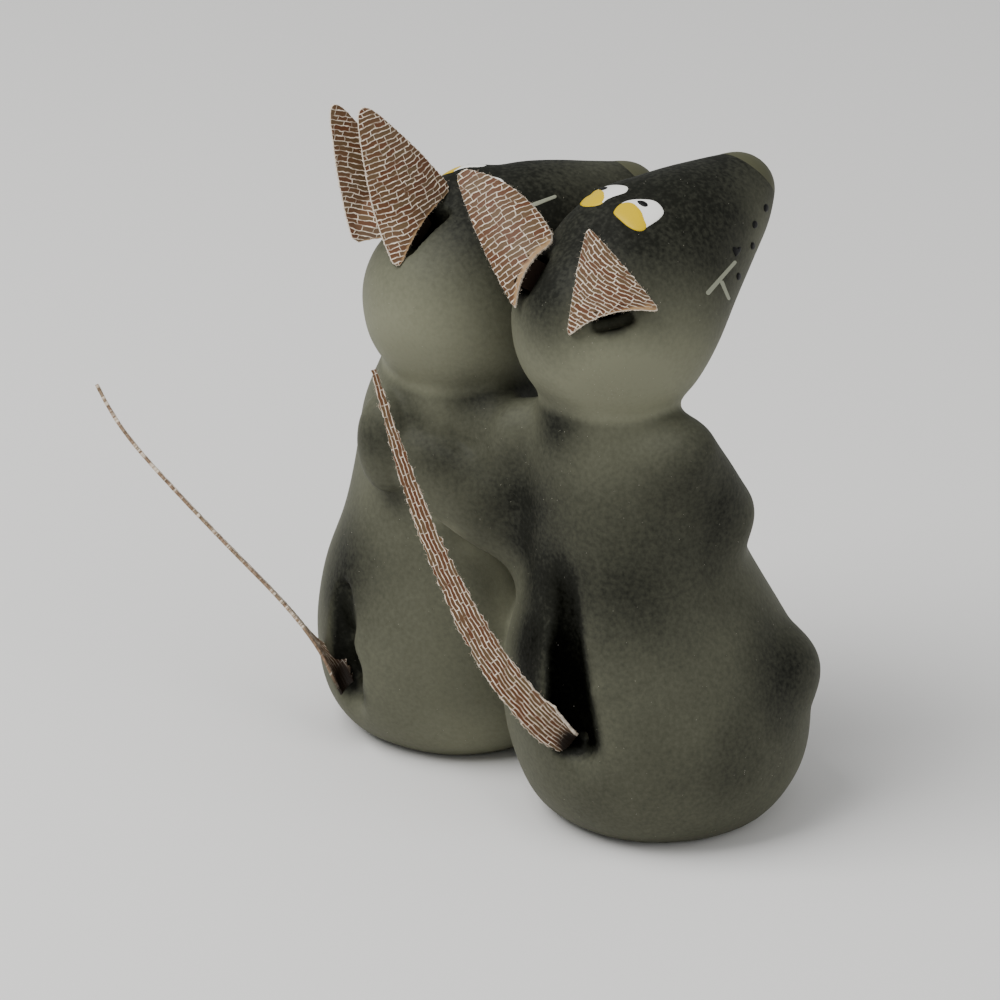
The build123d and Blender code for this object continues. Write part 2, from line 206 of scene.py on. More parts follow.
def pressedTogether():
    shells = {node: weldedCopy(node) for mouse in clay["mice"] for node, crease in mouse}
    everyPoint = np.concatenate([points for points, corners in shells.values()])
    grain, reach = clay["grain"], clay["reach"]
    corner = np.floor((everyPoint.min(0) - clay["margin"]) / grain).astype(int)
    size = np.ceil((everyPoint.max(0) + clay["margin"]) / grain).astype(int) - corner
    origin = tuple(int(c) for c in corner)
    spacing = openvdb.createLinearTransform(voxelSize=grain)
    bodies = []
    for mouse in clay["mice"]:
        body = None
        for node, crease in mouse:
            points, corners = shells[node]
            grid = openvdb.FloatGrid.createLevelSetFromPolygons(
                points, triangles=corners, transform=spacing, halfWidth=reach / grain)
            lump = np.full(size, reach, dtype=np.float32)
            grid.copyToArray(lump, ijk=origin)
            body = lump if body is None else luted(body, lump, crease)
        bodies.append(body)
    field = blurred(luted(*bodies, clay["betweenMice"]), clay["soften"] / grain)
    axes = [((np.arange(size[k]) + corner[k]) * grain).astype(np.float32) for k in range(3)]
    x, y, z = np.meshgrid(*axes, indexing="ij")

    def near(spot, radius):  # 1 at a spot, falling softly to 0 about its radius
        away = (x - spot.x) ** 2 + (y - spot.y) ** 2 + (z - spot.z) ** 2
        return np.exp(-(away / radius ** 2) ** 2)

    worn = [(onBody(mouse, (ahead, side * aside, up)), radius)
            for mouse in seats for side in (-1, 1) for (ahead, aside, up), radius in thumbed]
    for mouse, (low, high, lowRadius, highRadius) in dents.items():
        low, high = onBody(mouse, low), onBody(mouse, high)
        aside = photoRight * softLips["aside"]
        worn += [(low + (high - low) * share + aside * (softLips["narrowing"] - share), radius)
                 for share, radius in softLips[mouse]]
        worn.append((low - (high - low).normalized() * softLips["below"], softLips["belowRadius"]))
    thumbing = np.zeros_like(field)
    for spot, radius in worn:
        thumbing = np.maximum(thumbing, near(spot, radius))
    field = field + (blurred(field, clay["thumbSpread"] / grain) - field) * thumbing
    added = []
    for head, pixel, radius, height in brows:
        way = rayAt(pixel)
        depth = (heads[head]["centre"] - photoEye).dot(way)
        added.append((photoEye + way * depth, radius, height))
    for pixel, distance, radius, height in webs:
        way = rayAt(pixel)
        added.append((photoEye - way * (distance / way.dot(photoBack)), radius, height))
    for spot, radius, height in added:
        field = field - height * near(spot, radius)
    bumps = np.random.default_rng(clay["bumpSeed"]).normal(size=field.shape).astype(np.float32)
    bumps = blurred(bumps, clay["bumpSpread"])
    field = field + bumps / bumps.std() * clay["unevenness"]
    field = np.maximum(field, -z)  # the seat is ground flat
    grid = openvdb.FloatGrid(reach)
    grid.transform = spacing
    grid.copyFromArray(field.astype(np.float32), ijk=origin)
    points, triangles, quads = grid.convertToPolygons(isovalue=0.0, adaptivity=0.0)
    return points, list(triangles) + list(quads)


def newObject(name, data):
    made = bpy.data.objects.new(name, data)
    bpy.context.scene.collection.objects.link(made)
    return made


def meshPiece(name, points, faces, material, smooth=True):
    points, faces = [tuple(map(float, p)) for p in points], [tuple(map(int, f)) for f in faces]
    mesh = bpy.data.meshes.new(name)
    mesh.from_pydata(points, [], faces)
    mesh.materials.append(material)
    if smooth:
        mesh.polygons.foreach_set("use_smooth", [True] * len(mesh.polygons))
    mesh.update()
    return newObject(name, mesh)


def turnOutwards(piece, weld=0.001 * mm):  # no points are joined where the weld is 0
    shell = bmesh.new()
    shell.from_mesh(piece.data)
    if weld:
        bmesh.ops.remove_doubles(shell, verts=shell.verts, dist=weld)
    bmesh.ops.recalc_face_normals(shell, faces=shell.faces)
    shell.to_mesh(piece.data)
    shell.free()


def placesOf(piece):
    places = np.zeros(len(piece.data.vertices) * 3, dtype=np.float32)
    piece.data.vertices.foreach_get("co", places)
    return places.reshape(-1, 3)


def note(piece, label, values):  # keeps one number, or a row of three, at each point of a piece
    values = np.asarray(values, dtype=np.float32)
    kind, field = ("FLOAT", "value") if values.ndim == 1 else ("FLOAT_VECTOR", "vector")
    layer = piece.data.attributes.new(label, kind, "POINT")
    layer.data.foreach_set(field, values.ravel())


class Wiring:  # a node tree, and the calls that build it
    def __init__(self, tree):
        self.tree = tree

    def plug(self, node, plugs):  # each value is a setting, or an output of another node
        for socket, value in plugs.items():
            if isinstance(value, bpy.types.NodeSocket):
                self.tree.links.new(value, node.inputs[socket])
            else:
                node.inputs[socket].default_value = value
        return node

    def add(self, kind, plugs=None, **settings):
        made = self.tree.nodes.new(kind)
        for key, value in settings.items():
            setattr(made, key, value)
        return self.plug(made, plugs or {})

    def calc(self, operation, *terms):
        return self.add("ShaderNodeMath", dict(enumerate(terms)), operation=operation).outputs[0]

    def vector(self, operation, *terms):
        sockets = (0, "Scale") if operation == "SCALE" else (0, 1)
        plugs = dict(zip(sockets, terms))
        return self.add("ShaderNodeVectorMath", plugs, operation=operation).outputs[0]

    def split(self, vector):
        return self.add("ShaderNodeSeparateXYZ", {0: vector}).outputs

    def noted(self, label, kind="FLOAT"):  # what a piece's points say, in a Geometry Nodes tree
        made = self.add("GeometryNodeInputNamedAttribute", {"Name": label}, data_type=kind)
        return made.outputs["Attribute"]

    def painted(self, label):  # and in a material
        return self.add("ShaderNodeAttribute", attribute_name=label).outputs

    def close(self, geometry, material):  # plain geometry that wears its material
        real = self.add("GeometryNodeRealizeInstances", {0: geometry})
        dressed = self.add("GeometryNodeSetMaterial", {0: real.outputs[0], "Material": material})
        self.add("NodeGroupOutput", {0: dressed.outputs[0]})
        return self.tree


def newTree(name, inputs):  # a Geometry Nodes tree with named inputs, and their outlets inside
    tree = bpy.data.node_groups.new(name, "GeometryNodeTree")
    for label, kind in {"Geometry": "Geometry", **inputs}.items():
        tree.interface.new_socket(label, in_out="INPUT", socket_type="NodeSocket" + kind)
    tree.interface.new_socket("Geometry", in_out="OUTPUT", socket_type="NodeSocketGeometry")
    wiring = Wiring(tree)
    return wiring, wiring.add("NodeGroupInput").outputs


# Finishes
def newFinish(name):
    finish = bpy.data.materials.new(name)
    finish.use_nodes = True
    return finish, Wiring(finish.node_tree), finish.node_tree.nodes["Principled BSDF"]


claySprayAndShade = {
    "pale": (0.180, 0.182, 0.124, 1),
    "dark": (0.0075, 0.008, 0.0048, 1),
    # darkest stop: dark slip deepened into painted shade, as in the dents and slits
    "sootAndShade": (0.0006, 0.0006, 0.0004, 1),
    "fullSmokeAndShade": 1.3,  # how much airbrushed slip and painted shade the darkest stop stands for
    "mottle": {"Scale": 90.0, "Detail": 5},
    "mottleShare": 0.26,
    "sand": {"Scale": 1400.0, "Detail": 3},
    "sandShare": 0.3,
    "bump": {"Strength": 0.35, "Distance": 0.15 * mm},
    "roughness": 0.62,
    # the shine falls away where the clay is darkest, as painted shade
    "shine": {"From Min": 0.72, "From Max": 0.95, "To Min": 0.16, "To Max": 0.01},
}


def clayFinish():
    finish, wiring, skin = newFinish("smokedAndShadedClay")
    where = wiring.add("ShaderNodeTexCoord").outputs["Object"]
    mottle, sand = (
        wiring.add("ShaderNodeTexNoise", {"Vector": where, **claySprayAndShade[kind]}).outputs["Fac"]
        for kind in ("mottle", "sand"))
    patchy = wiring.calc(
        "MULTIPLY_ADD", mottle, claySprayAndShade["mottleShare"], wiring.painted("smokeAndShade")["Fac"])
    grainy = wiring.calc("MULTIPLY_ADD", sand, claySprayAndShade["sandShare"], patchy)
    middle = (claySprayAndShade["mottleShare"] + claySprayAndShade["sandShare"]) / 2
    level = wiring.calc("SUBTRACT", grainy, middle)
    share = wiring.calc("DIVIDE", level, claySprayAndShade["fullSmokeAndShade"])
    tone = wiring.add("ShaderNodeValToRGB", {"Fac": share})
    stops = tone.color_ramp.elements
    stops[0].color = claySprayAndShade["pale"]
    stops[1].color = claySprayAndShade["sootAndShade"]
    stops.new(1 / claySprayAndShade["fullSmokeAndShade"]).color = claySprayAndShade["dark"]
    bump = wiring.add("ShaderNodeBump", {"Height": sand, **claySprayAndShade["bump"]})
    shine = wiring.add("ShaderNodeMapRange", {"Value": share, **claySprayAndShade["shine"]})
    wiring.plug(skin, {
        "Base Color": tone.outputs["Color"], "Normal": bump.outputs["Normal"],
        "Roughness": claySprayAndShade["roughness"],
        "Specular IOR Level": shine.outputs["Result"]})  # the darkest clay doesn't shine: painted shade in dents and slits
    return finish


def plainFinish(name, colour, roughness, coat=0.0, shine=0.5):
    finish, wiring, skin = newFinish(name)
    wiring.plug(skin, {
        "Base Color": (*colour, 1), "Roughness": roughness, "Coat Weight": coat,
        "Specular IOR Level": shine})
    return finish


smokedAndShadedClay = clayFinish()
clayPair = meshPiece("clay_mouse_pair", *pressedTogether(), smokedAndShadedClay)
turnOutwards(clayPair)
claySkin = BVHTree.FromObject(clayPair, bpy.context.evaluated_depsgraph_get())


def onClay(pixel):  # the clay seen through a pixel of the photograph, or else the clay next to it
    way = rayAt(pixel)
    hit = claySkin.ray_cast(photoEye, way)[0]
    if hit is None:
        depth = (heads["hugging"]["centre"] - photoEye).dot(way)
        hit = claySkin.find_nearest(photoEye + way * depth)[0]
    return hit


for mouse in clay["mice"]:
    for node, crease in mouse:
        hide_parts(node)
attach(clayPair, "root")
print("clay pair:", len(clayPair.data.polygons), "faces")

ears = {
    "hugging_mouse_right_ear": {
        "head": "hugging", "root": (-0.39, -0.6, 0.7), "tip": (0.04, -0.2, 1.34),
        "face": (130, 19), "lean": 0, "width": 0.9, "swell": (0.01, 0.01), "point": 0.04,
        "corners": (1.2 * mm, 1.4 * mm), "bare": (0.02 * mm, 1.5 * mm), "bareFrom": 4,
        "swing": 0.5, "rows": 53, "bow": -32.0, "bowMiddle": -4.5 * mm,
        "scaleHeight": 0.64 * mm, "seed": 1},
    "hugging_mouse_left_ear": {
        "head": "hugging", "root": (-0.345, 0.48, 0.808), "tip": (0.03, 1.52, 1.56),
        "face": (115, 31), "lean": 26, "width": 0.74, "swell": (0.05, 0.17), "point": 0.08,
        "corners": (1.4 * mm, 1.6 * mm), "bare": (0.6 * mm, 1.3 * mm), "bareFrom": 1,
        "swing": 0.5, "rows": 30, "bow": 0.0, "bowMiddle": 0.0,
        "scaleHeight": 0.88 * mm, "seed": 2},
    "hugged_mouse_right_ear": {
        "head": "hugged", "root": (-0.12, -0.12, 0.97), "tip": (-0.04, 0.08, 2.38),
        "face": (151, 12), "lean": 28, "width": 1.0, "swell": (0.06, 0.04), "point": 0.12,
        "corners": (3.2 * mm, 1.6 * mm), "bare": (0.5 * mm, 0.2 * mm), "bareFrom": 1,
        "swing": 0.4, "rows": 34, "bow": -15.0, "bowMiddle": -4 * mm,
        "scaleHeight": 0.82 * mm, "seed": 3},
    "hugged_mouse_left_ear": {
        "head": "hugged", "root": (-0.16, 0.6, 0.8), "tip": (-0.12, 0.66, 2.36),
        "face": (151, 12), "lean": -15, "width": 0.82, "swell": (0.05, 0.04), "point": 0.12,
        "corners": (1.8 * mm, 1.8 * mm), "bare": (0.3 * mm, 0.3 * mm), "bareFrom": 1,
        "swing": 1.5, "rows": 20, "bow": 0.0, "bowMiddle": 0.0,
        "scaleHeight": 0.82 * mm, "seed": 4},
}
# The airbrush and painted light: spots of dark slip on pale clay, mixed with painted shade in
# hollows and under the heads and ears, and painted highlights on a lit rim; each is laid on the
# clay that lies there
sprayAndShade = {
    "ground": 0.50,
    "headStart": -0.75,
    "headEnd": 0.95,
    "headPale": 0.08,
    "headDark": 1.0,
    "headForward": 0.75,
    "headUp": 0.66,
    "snoutLength": 1.6,
    "crownLift": 0.25,
    "headEdge": 1.12,
    "headSoft": 0.1,
    "dentDark": 1.0,
    "dentFade": 1.6 * mm,
    "dentRightFade": 1.9,
    "dentSide": 5 * mm,
    "dentInset": (0.5, 1.8),  # in mm, at the left lip, and more at the right one
    "dentTop": 0.95,
    "dentBelow": 3 * mm,
    "slitDark": 0.9,
    "slitReach": 3.6 * mm,
    "spots": [  # place in the photograph, radius in mm, and how much darker it gets (slip and painted shade; below 0, lighter)
        # near mouse, from the head down
        (535, 310, 8, 0.44), (560, 345, 6, 0.2), (610, 380, 10, -0.3), (690, 355, 9, -0.14),
        (662, 425, 7, -0.12), (700, 315, 10, -0.1), (765, 195, 7.5, -0.1), (765, 225, 7.5, -0.18),
        (755, 255, 7.5, -0.18), (740, 285, 7.5, -0.15), (558, 418, 6, 0.5), (700, 450, 10, 0.3),
        (738, 505, 8.8, 0.3), (640, 500, 12.5, 0.1), (640, 585, 15, 0.2), (700, 580, 12, 0.13),
        (610, 625, 10, 0.15), (790, 668, 11.2, 0.39), (640, 800, 20, 0.13), (570, 785, 10, 0.07),
        (745, 770, 12.5, 0.2), (530, 640, 6.2, 0.53), (533, 570, 7, 0.28), (528, 690, 5, 0.33),
        (560, 585, 6.2, 0.2), (540, 500, 9, 0.32), (620, 440, 12.5, -0.05),
        # the arm round the far mouse: painted shade, as it lies under the heads
        (450, 455, 6, 0.24), (500, 510, 7, 0.24), (520, 545, 4, 0.2), (515, 480, 7, 0.2),
        (430, 450, 5, 0.16),
        # far mouse, from the head down
        (385, 320, 10, -0.1), (420, 290, 11.2, -0.13), (470, 388, 5, 0.42), (525, 385, 6, 0.35),
        (440, 418, 5, -0.18), (402, 398, 3.6, 0.2), (416, 420, 3, 0.22), (392, 494, 3.2, 0.29),
        (372, 440, 5, 0.32), (348, 560, 8.8, 0.43), (336, 600, 6.2, 0.25),
        (440, 720, 17.5, -0.08), (490, 740, 9, -0.36), (612, 172, 7, -0.16), (560, 182, 6, -0.08),
        (400, 640, 15, 0.02),
        # painted highlight along the rim of the far back, beside the arm, where it catches the
        # light
        (433, 516, 2.2, -0.35), (452, 530, 2.2, -0.4), (472, 544, 2.2, -0.4),
        (490, 555, 2.2, -0.45), (503, 572, 2.2, -0.5), (507, 595, 2.4, -0.5),
        (505, 620, 2.4, -0.45), (500, 648, 2.4, -0.35),
    ],
}


def smoothStep(value):
    value = np.clip(value, 0, 1)
    return value * value * (3 - 2 * value)


def sprayedAndShaded():
    spots = placesOf(clayPair)
    smokeAndShade = np.full(len(spots), sprayAndShade["ground"], dtype=np.float32)
    for head in heads:  # the snout and the crown are dark, the back of the head is pale
        forward, left, crown = (np.array(w) for w in headAxes(head))
        local = (spots - np.array(heads[head]["centre"])) / ballRadius
        along = local @ (forward * sprayAndShade["headForward"] + crown * sprayAndShade["headUp"])
        tone = sprayAndShade["headPale"] + (sprayAndShade["headDark"] - sprayAndShade["headPale"]) * smoothStep(
            (along - sprayAndShade["headStart"]) / (sprayAndShade["headEnd"] - sprayAndShade["headStart"]))
        onSnout = np.clip(local @ forward, 0, sprayAndShade["snoutLength"])[:, None] * forward
        reach = np.sqrt(((local - onSnout) ** 2).sum(1))
        reach -= sprayAndShade["crownLift"] * np.clip(local @ crown, 0, 1)
        within = smoothStep((sprayAndShade["headEdge"] - reach) / sprayAndShade["headSoft"])
        smokeAndShade = smokeAndShade * (1 - within) + tone * within
    # the dent down each back is darkened: airbrushed slip and painted shade in the hollow, fading
    # softer to the right
    for mouse, (low, high, lowRadius, highRadius) in dents.items():
        low, high = (np.array(onBody(mouse, shares)) for shares in (low, high))
        rise = high - low
        share = np.clip((spots - low) @ rise / (rise @ rise), 0, 1)
        away = np.linalg.norm(spots - low - share[:, None] * rise, axis=1)
        radius = lowRadius + (highRadius - lowRadius) * share
        toRight = smoothStep((spots - low) @ np.array(photoRight) / sprayAndShade["dentSide"])
        fade = sprayAndShade["dentFade"] * (1 + sprayAndShade["dentRightFade"] * toRight)
        leftInset, rightInset = sprayAndShade["dentInset"]
        inset = (leftInset + rightInset * toRight) * mm
        below = np.clip((low - spots) @ rise / np.linalg.norm(rise) / sprayAndShade["dentBelow"], 0, 1)
        smokeAndShade += (sprayAndShade["dentDark"] * smoothStep(1 - (away - radius + inset) / fade)
                  * (1 - sprayAndShade["dentTop"] * share) * (1 - below))
    for ear in ears.values():  # painted shade round the slits, under the ears
        away = ((spots - np.array(onHead(ear["head"], ear["root"]))) ** 2).sum(1)
        smokeAndShade += sprayAndShade["slitDark"] * np.exp(-(away / sprayAndShade["slitReach"] ** 2) ** 2)
    # airbrushed spots, with painted shade and painted highlights among them
    for u, v, radius, strength in sprayAndShade["spots"]:
        away = ((spots - np.array(onClay((u, v)))) ** 2).sum(1)
        smokeAndShade += strength * np.exp(-away / (radius * mm) ** 2)
    return np.clip(smokeAndShade, 0, claySprayAndShade["fullSmokeAndShade"])


# the airbrushed slip and the painted shade go on the clay as one note
note(clayPair, "smokeAndShade", sprayedAndShaded())
print("clay is sprayed")


# Enamel marks. Those of the near cheek have their place in the photograph. The other three
# cheeks wear the same marks, in the same places on their own heads.
enamel = {
    "rings": 8,
    "dippedRings": 32,
    "stops": 40,
    "sunk": 0.25 * mm,
    "tuck": 0.03 * mm,  # how far the edge of a coat dips below the clay
    "stray": 4 * mm,
    "castFrom": 0.4,  # share of the way out from the head's middle
    "coats": {"white": 0.16 * mm, "yellow": 0.24 * mm, "black": 0.32 * mm, "pale": 0.08 * mm,
              "olive": 0.1 * mm},
    "noseStart": 31 * mm,
    "noseCone": math.radians(58),
    "noseSize": 9 * mm,
    "noseRise": 2.5 * mm,
    "noseStops": 72,
}
eyes = {  # outlines of the near mouse's eyes in the photograph
    "right": {
        "white": [(613.8, 211.8), (618.3, 205.4), (625.3, 200.9), (635, 199), (645.2, 199),
                  (654.2, 200.3), (660.7, 204.8), (664.5, 212.5), (659.4, 219.5), (651.7, 224.7),
                  (645.9, 228.5), (642.7, 230.9), (636.2, 230.5), (628.5, 226.6), (620.8, 220.2),
                  (615.7, 215.1)],
        "yellow": [(613.4, 211.8), (618.3, 205.2), (625.3, 202), (633.7, 202.6), (640.1, 208),
                   (644, 214.4), (646.5, 222.1), (647.2, 226.8), (643, 231.1), (635.9, 230.9),
                   (627.8, 226.8), (620.3, 220.5), (615, 215.5)],
        "black": [(636.9, 201.3), (642.7, 201.2), (647.2, 203.5), (648.2, 206.7), (644.6, 207.7),
                  (639.5, 205.2)],
    },
    "left": {
        "white": [(579, 202.2), (582.3, 197.7), (588.7, 193.2), (595.8, 189.7), (602.8, 188.1),
                  (610.5, 187.2), (618.3, 187.2), (624.7, 185.9), (628.5, 187.4), (628.5, 190.6),
                  (624.7, 193.6), (615.7, 196.4), (608, 199.6), (601.5, 204.4), (593.8, 206.4),
                  (584.8, 206.7), (580.3, 204.8)],
        "yellow": [(578.8, 202.2), (582, 197.6), (588.5, 193), (595.8, 189.8), (601.5, 190),
                   (605.4, 191.9), (607.3, 195.1), (606, 199.6), (601.6, 204.5), (593.8, 206.7),
                   (584.7, 207), (580, 205)],
        "black": [(599, 190), (602.8, 188.4), (608, 187.8), (606.7, 189.7), (602.2, 191)],
    },
}
cheekMarks = {"black": [], "pale": []}
dots = {
    "turn": 6.28,
    "stops": 12,
    "places": [(765.8, 208, 2.2, 4.0), (754.6, 224.6, 2.3, 4.0), (752.4, 245.9, 1.9, 3.8),
               (738.4, 276.4, 2.0, 3.8)],  # middle, half width and half height in pixels
}
for u, v, across, tall in dots["places"]:
    cheekMarks["black"].append([
        (u + across * math.cos(t), v + tall * math.sin(t))
        for t in np.linspace(0, dots["turn"], dots["stops"] + 1)[:-1]])
cheekMarks["black"].append([  # the small heart
    (736.6, 248.6), (738.8, 246.8), (740.6, 247.6), (740.4, 250.6), (738.2, 254.0), (735.8, 256.8),
    (734.0, 253.8), (732.6, 250.2), (733, 247.4), (735, 247)])
brush = {
    "stops": 9,
    "taper": 0.25,
    "roundings": (0.4, 0.8, 1.2, 1.57, 1.94, 2.34, 2.74),
    "mouth": [((707.5, 293.5), (735.5, 261.5), 4.8), ((721.8, 282), (729, 299), 4.2)],
    "farCheek": ((533, 205), (555.5, 196.4), 4.6),  # on the far mouse's right cheek
}


def stroke(start, end, width):  # outline of one stroke of a loaded brush
    start, end = np.array(start, float), np.array(end, float)
    way = (end - start) / np.linalg.norm(end - start)
    side = np.array([-way[1], way[0]])
    shares = np.linspace(0, 1, brush["stops"])

    def edge(share):
        return side * width / 2 * (1 - brush["taper"] * share)

    def tip(turn):
        return (side * math.cos(turn) + way * math.sin(turn)) * width / 2

    outline = [start + (end - start) * share + edge(share) for share in shares]
    outline += [end + tip(turn) * (1 - brush["taper"]) for turn in brush["roundings"]]
    outline += [start + (end - start) * share - edge(share) for share in shares[::-1]]
    outline += [start - tip(turn) for turn in brush["roundings"]]
    return outline


cheekMarks["pale"] += [stroke(*mark) for mark in brush["mouth"]]


def inHead(head, place):
    offset = place - heads[head]["centre"]
    return np.array([offset.dot(axis) for axis in headAxes(head)])


def smoothLoop(stops, count):  # closed smooth curve through the stops
    stops = np.array(stops, float)
    size = len(stops)
    loop = []
    for step in range(count):
        at = step / count * size
        index, t = int(at), at - int(at)
        a, b, c, d = (stops[(index + k) % size] for k in (-1, 0, 1, 2))
        loop.append(0.5 * (2 * b + (c - a) * t + (2 * a - 5 * b + 4 * c - d) * t * t
                           + (3 * b - a - 3 * c + d) * t ** 3))
    return np.array(loop)


def discFaces(first, rings, around, way):  # a point and the rings round it, or with way -1 its back
    faces = []
    for k in range(around):
        pair = (first + 1 + k, first + 1 + (k + 1) % around)
        faces.append((first, *pair[::way]))
    for ring in range(rings - 1):
        low = first + 1 + ring * around
        faces += [face[::way] for face in rimFaces(low, low + around, around)]
    return faces


def rimFaces(upper, lower, around):
    return [(upper + k, lower + k, lower + (k + 1) % around, upper + (k + 1) % around)
            for k in range(around)]


def brushedOn(outline, head, side, coat, store, dipped=False):
    # One raised mark, closed below the clay. A dipped mark is wide and wraps a round tip: it
    # has close rings, and each of its points is lifted its own way.
    forward, left, crown = headAxes(head)
    centre = outline.mean(0)
    shares = np.sqrt(np.linspace(0, 1, enamel["rings"] + 1))[1:]
    if dipped:
        shares = np.linspace(0, 1, enamel["dippedRings"] + 1)[1:]
    flat = [centre] + [centre + (stop - centre) * share for share in shares for stop in outline]
    lift = [1.0] + [max(1 - share ** 4, 0) ** 0.5 for share in shares for stop in outline]
    tops, normals = [], []
    for place in flat:
        along = max(min(place[0], enamel["noseStart"]), 0)
        radial = left * side * place[1] + crown * place[2] + forward * (place[0] - along)
        target = heads[head]["centre"] + forward * along
        outward = radial.normalized()
        start = target + outward * radial.length * enamel["castFrom"]
        hit, normal, face, distance = claySkin.ray_cast(start, outward)
        if hit is None or (hit - target).length > radial.length + enamel["stray"]:
            return  # the other mouse's cheek lies over this place
        tops.append(hit)
        normals.append(normal)
    mean = sum(normals, Vector()).normalized()
    ways = normals if dipped else [mean] * len(tops)
    rings, around, first = len(shares), len(outline), len(store["points"])
    under = first + len(tops)
    store["points"] += [t + w * (coat * l - enamel["tuck"]) for t, l, w in zip(tops, lift, ways)]
    store["points"] += [t - w * enamel["sunk"] for t, w in zip(tops, ways)]
    store["faces"] += discFaces(first, rings, around, 1) + discFaces(under, rings, around, -1)
    rim = 1 + (rings - 1) * around
    store["faces"] += rimFaces(first + rim, under + rim, around)


def traced(head, stops):  # outline on a head, as places in the head's own frame
    loop = smoothLoop(stops, enamel["stops"])
    return np.array([inHead(head, onClay(pixel)) for pixel in loop])


enamelFinishes = {
    "white": plainFinish("whiteEnamel", (0.85, 0.84, 0.79), 0.25, 0.5),
    "yellow": plainFinish("yellowEnamel", (0.58, 0.40, 0.0), 0.4, 0.0, shine=0.2),
    "black": plainFinish("blackEnamel", (0.002, 0.002, 0.002), 0.5, shine=0.15),
    "pale": plainFinish("paleSlip", (0.25, 0.26, 0.19), 0.6),
    "olive": plainFinish("oliveSlip", (0.052, 0.052, 0.022), 0.6),
}
for colour, coat in enamel["coats"].items():
    store = {"points": [], "faces": []}
    for side, marks in zip((-1, 1), eyes.values()):
        if colour in marks:
            outline = traced("hugging", marks[colour])
            outline[:, 1] *= side
            for head in heads:
                brushedOn(outline, head, side, coat, store)
    for stops in cheekMarks.get(colour, []):
        outline = traced("hugging", stops)
        outline[:, 1] *= -1
        for head in heads:
            for side in (1, -1):
                brushedOn(outline, head, side, coat, store)
    if colour == "pale":
        brushedOn(traced("hugged", stroke(*brush["farCheek"])), "hugged", 1, coat, store)
    if colour == "olive":  # the tip of the nose is dipped in olive slip
        ahead, aside = (turned(enamel["noseCone"]) * enamel["noseSize"]
                        for turned in (math.cos, math.sin))
        turns = np.linspace(0, 2 * math.pi, enamel["noseStops"] + 1)[:-1]
        nose = np.array([(enamel["noseStart"] + ahead, aside * math.cos(t),
                          aside * math.sin(t) + enamel["noseRise"]) for t in turns])
        for head in heads:
            brushedOn(nose, head, 1, coat, store, dipped=True)
    marks = meshPiece("enamel_" + colour, store["points"], store["faces"], enamelFinishes[colour])
    turnOutwards(marks)
    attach(marks, "root")
print("enamel is brushed on")


# Leather sheets, pressed with a lizard grain
leather = {
    "thickness": 0.8 * mm,
    "stitch": 0.12 * mm,  # spacing of the points that carry the grain
    "scaleLength": 2.1 * mm,
    "ridgeWidth": 0.115 * mm,
    "wander": 1.0,
    "ridgeHeight": 0.12 * mm,
    "ragged": 0.10 * mm,  # how far the cut edge strays
    "raggedRun": 3,  # in stitches
    "cutDepths": (0.33, 0.67),  # rows of points down the cut edge, as shares of the thickness
    "skinRim": 0.6,
    "fleshRim": 0.8,
}
earShape = {
    "width": 17 * mm,
    "cupRadius": 12 * mm,
    "cupInset": 0.1 * mm,
    "arch": 1.3 * mm,
    "lift": 2.5 * mm,
    "pointRound": 2.2,
    "filletStops": 9,
    "lowerStops": 60,
    "sideStops": 120,
    "strapWidth": 5 * mm,
    "strapDepth": 3.4 * mm,
    "strapThinned": 0.8,
    "clearOfClay": 0.15 * mm,
    "castFrom": 8 * mm,
    "tests": 700,
    "liftSoft": 0.3 * mm,
    "wornReach": 1.2,
    "wornRagged": 0.5,
    "wornScale": 900,
}


def earFrame(ear):  # middle of the leaf's lower edge, ways aside, up and out, and across the cup
    root, tip = onHead(ear["head"], ear["root"]), onHead(ear["head"], ear["tip"])
    faceWay = wayOf(*ear["face"])
    middle = root + faceWay * earShape["lift"]
    reach = tip - middle
    tipWay = reach.normalized()
    out = (faceWay - tipWay * faceWay.dot(tipWay)).normalized()
    side = (Matrix.Rotation(math.radians(ear["lean"]), 3, out) @ tipWay).cross(out)
    up = out.cross(side)
    outward = (root - heads[ear["head"]]["centre"]).normalized()
    return {
        "middle": middle, "side": side, "up": up, "out": out, "cross": tipWay.cross(out),
        "tip": (reach.dot(side), reach.dot(up)), "root": root, "outward": outward}


def bowed(start, end, swell):  # side that swells outwards from a straight line
    start, end = np.array(start, float), np.array(end, float)
    run = end - start
    outwards = np.array((run[1], -run[0])) / np.linalg.norm(run)
    share = np.linspace(0, 1, earShape["sideStops"])[:, None]
    return start + run * share + outwards * swell * 4 * share * (1 - share)


def runOf(line):  # length along a line at each of its points
    return np.r_[0, np.cumsum(np.linalg.norm(np.diff(line, axis=0), axis=1))]


def evenly(line, spacing):
    run = runOf(line)
    stops = np.linspace(0, run[-1], max(int(run[-1] / spacing), 2))
    return np.stack([np.interp(stops, run, line[:, k]) for k in (0, 1)], 1)


def filletedLoop(sides, radii, spacing):  # sides end to end, with a fillet where each one ends
    cut = []
    for index, side in enumerate(sides):
        before, after, run = radii[index - 1], radii[index], runOf(side)
        cut.append(side[(run >= before) & (run <= run[-1] - after)])
    loop = []
    for index, side in enumerate(cut):
        following, corner = cut[(index + 1) % len(cut)][0], sides[index][-1]
        share = np.linspace(0, 1, earShape["filletStops"])[1:-1, None]
        loop += [side, ((1 - share) ** 2 * side[-1] + 2 * share * (1 - share) * corner
                        + share ** 2 * following)]
    loop = np.vstack(loop)
    return evenly(np.vstack([loop, loop[:1]]), spacing)[:-1]


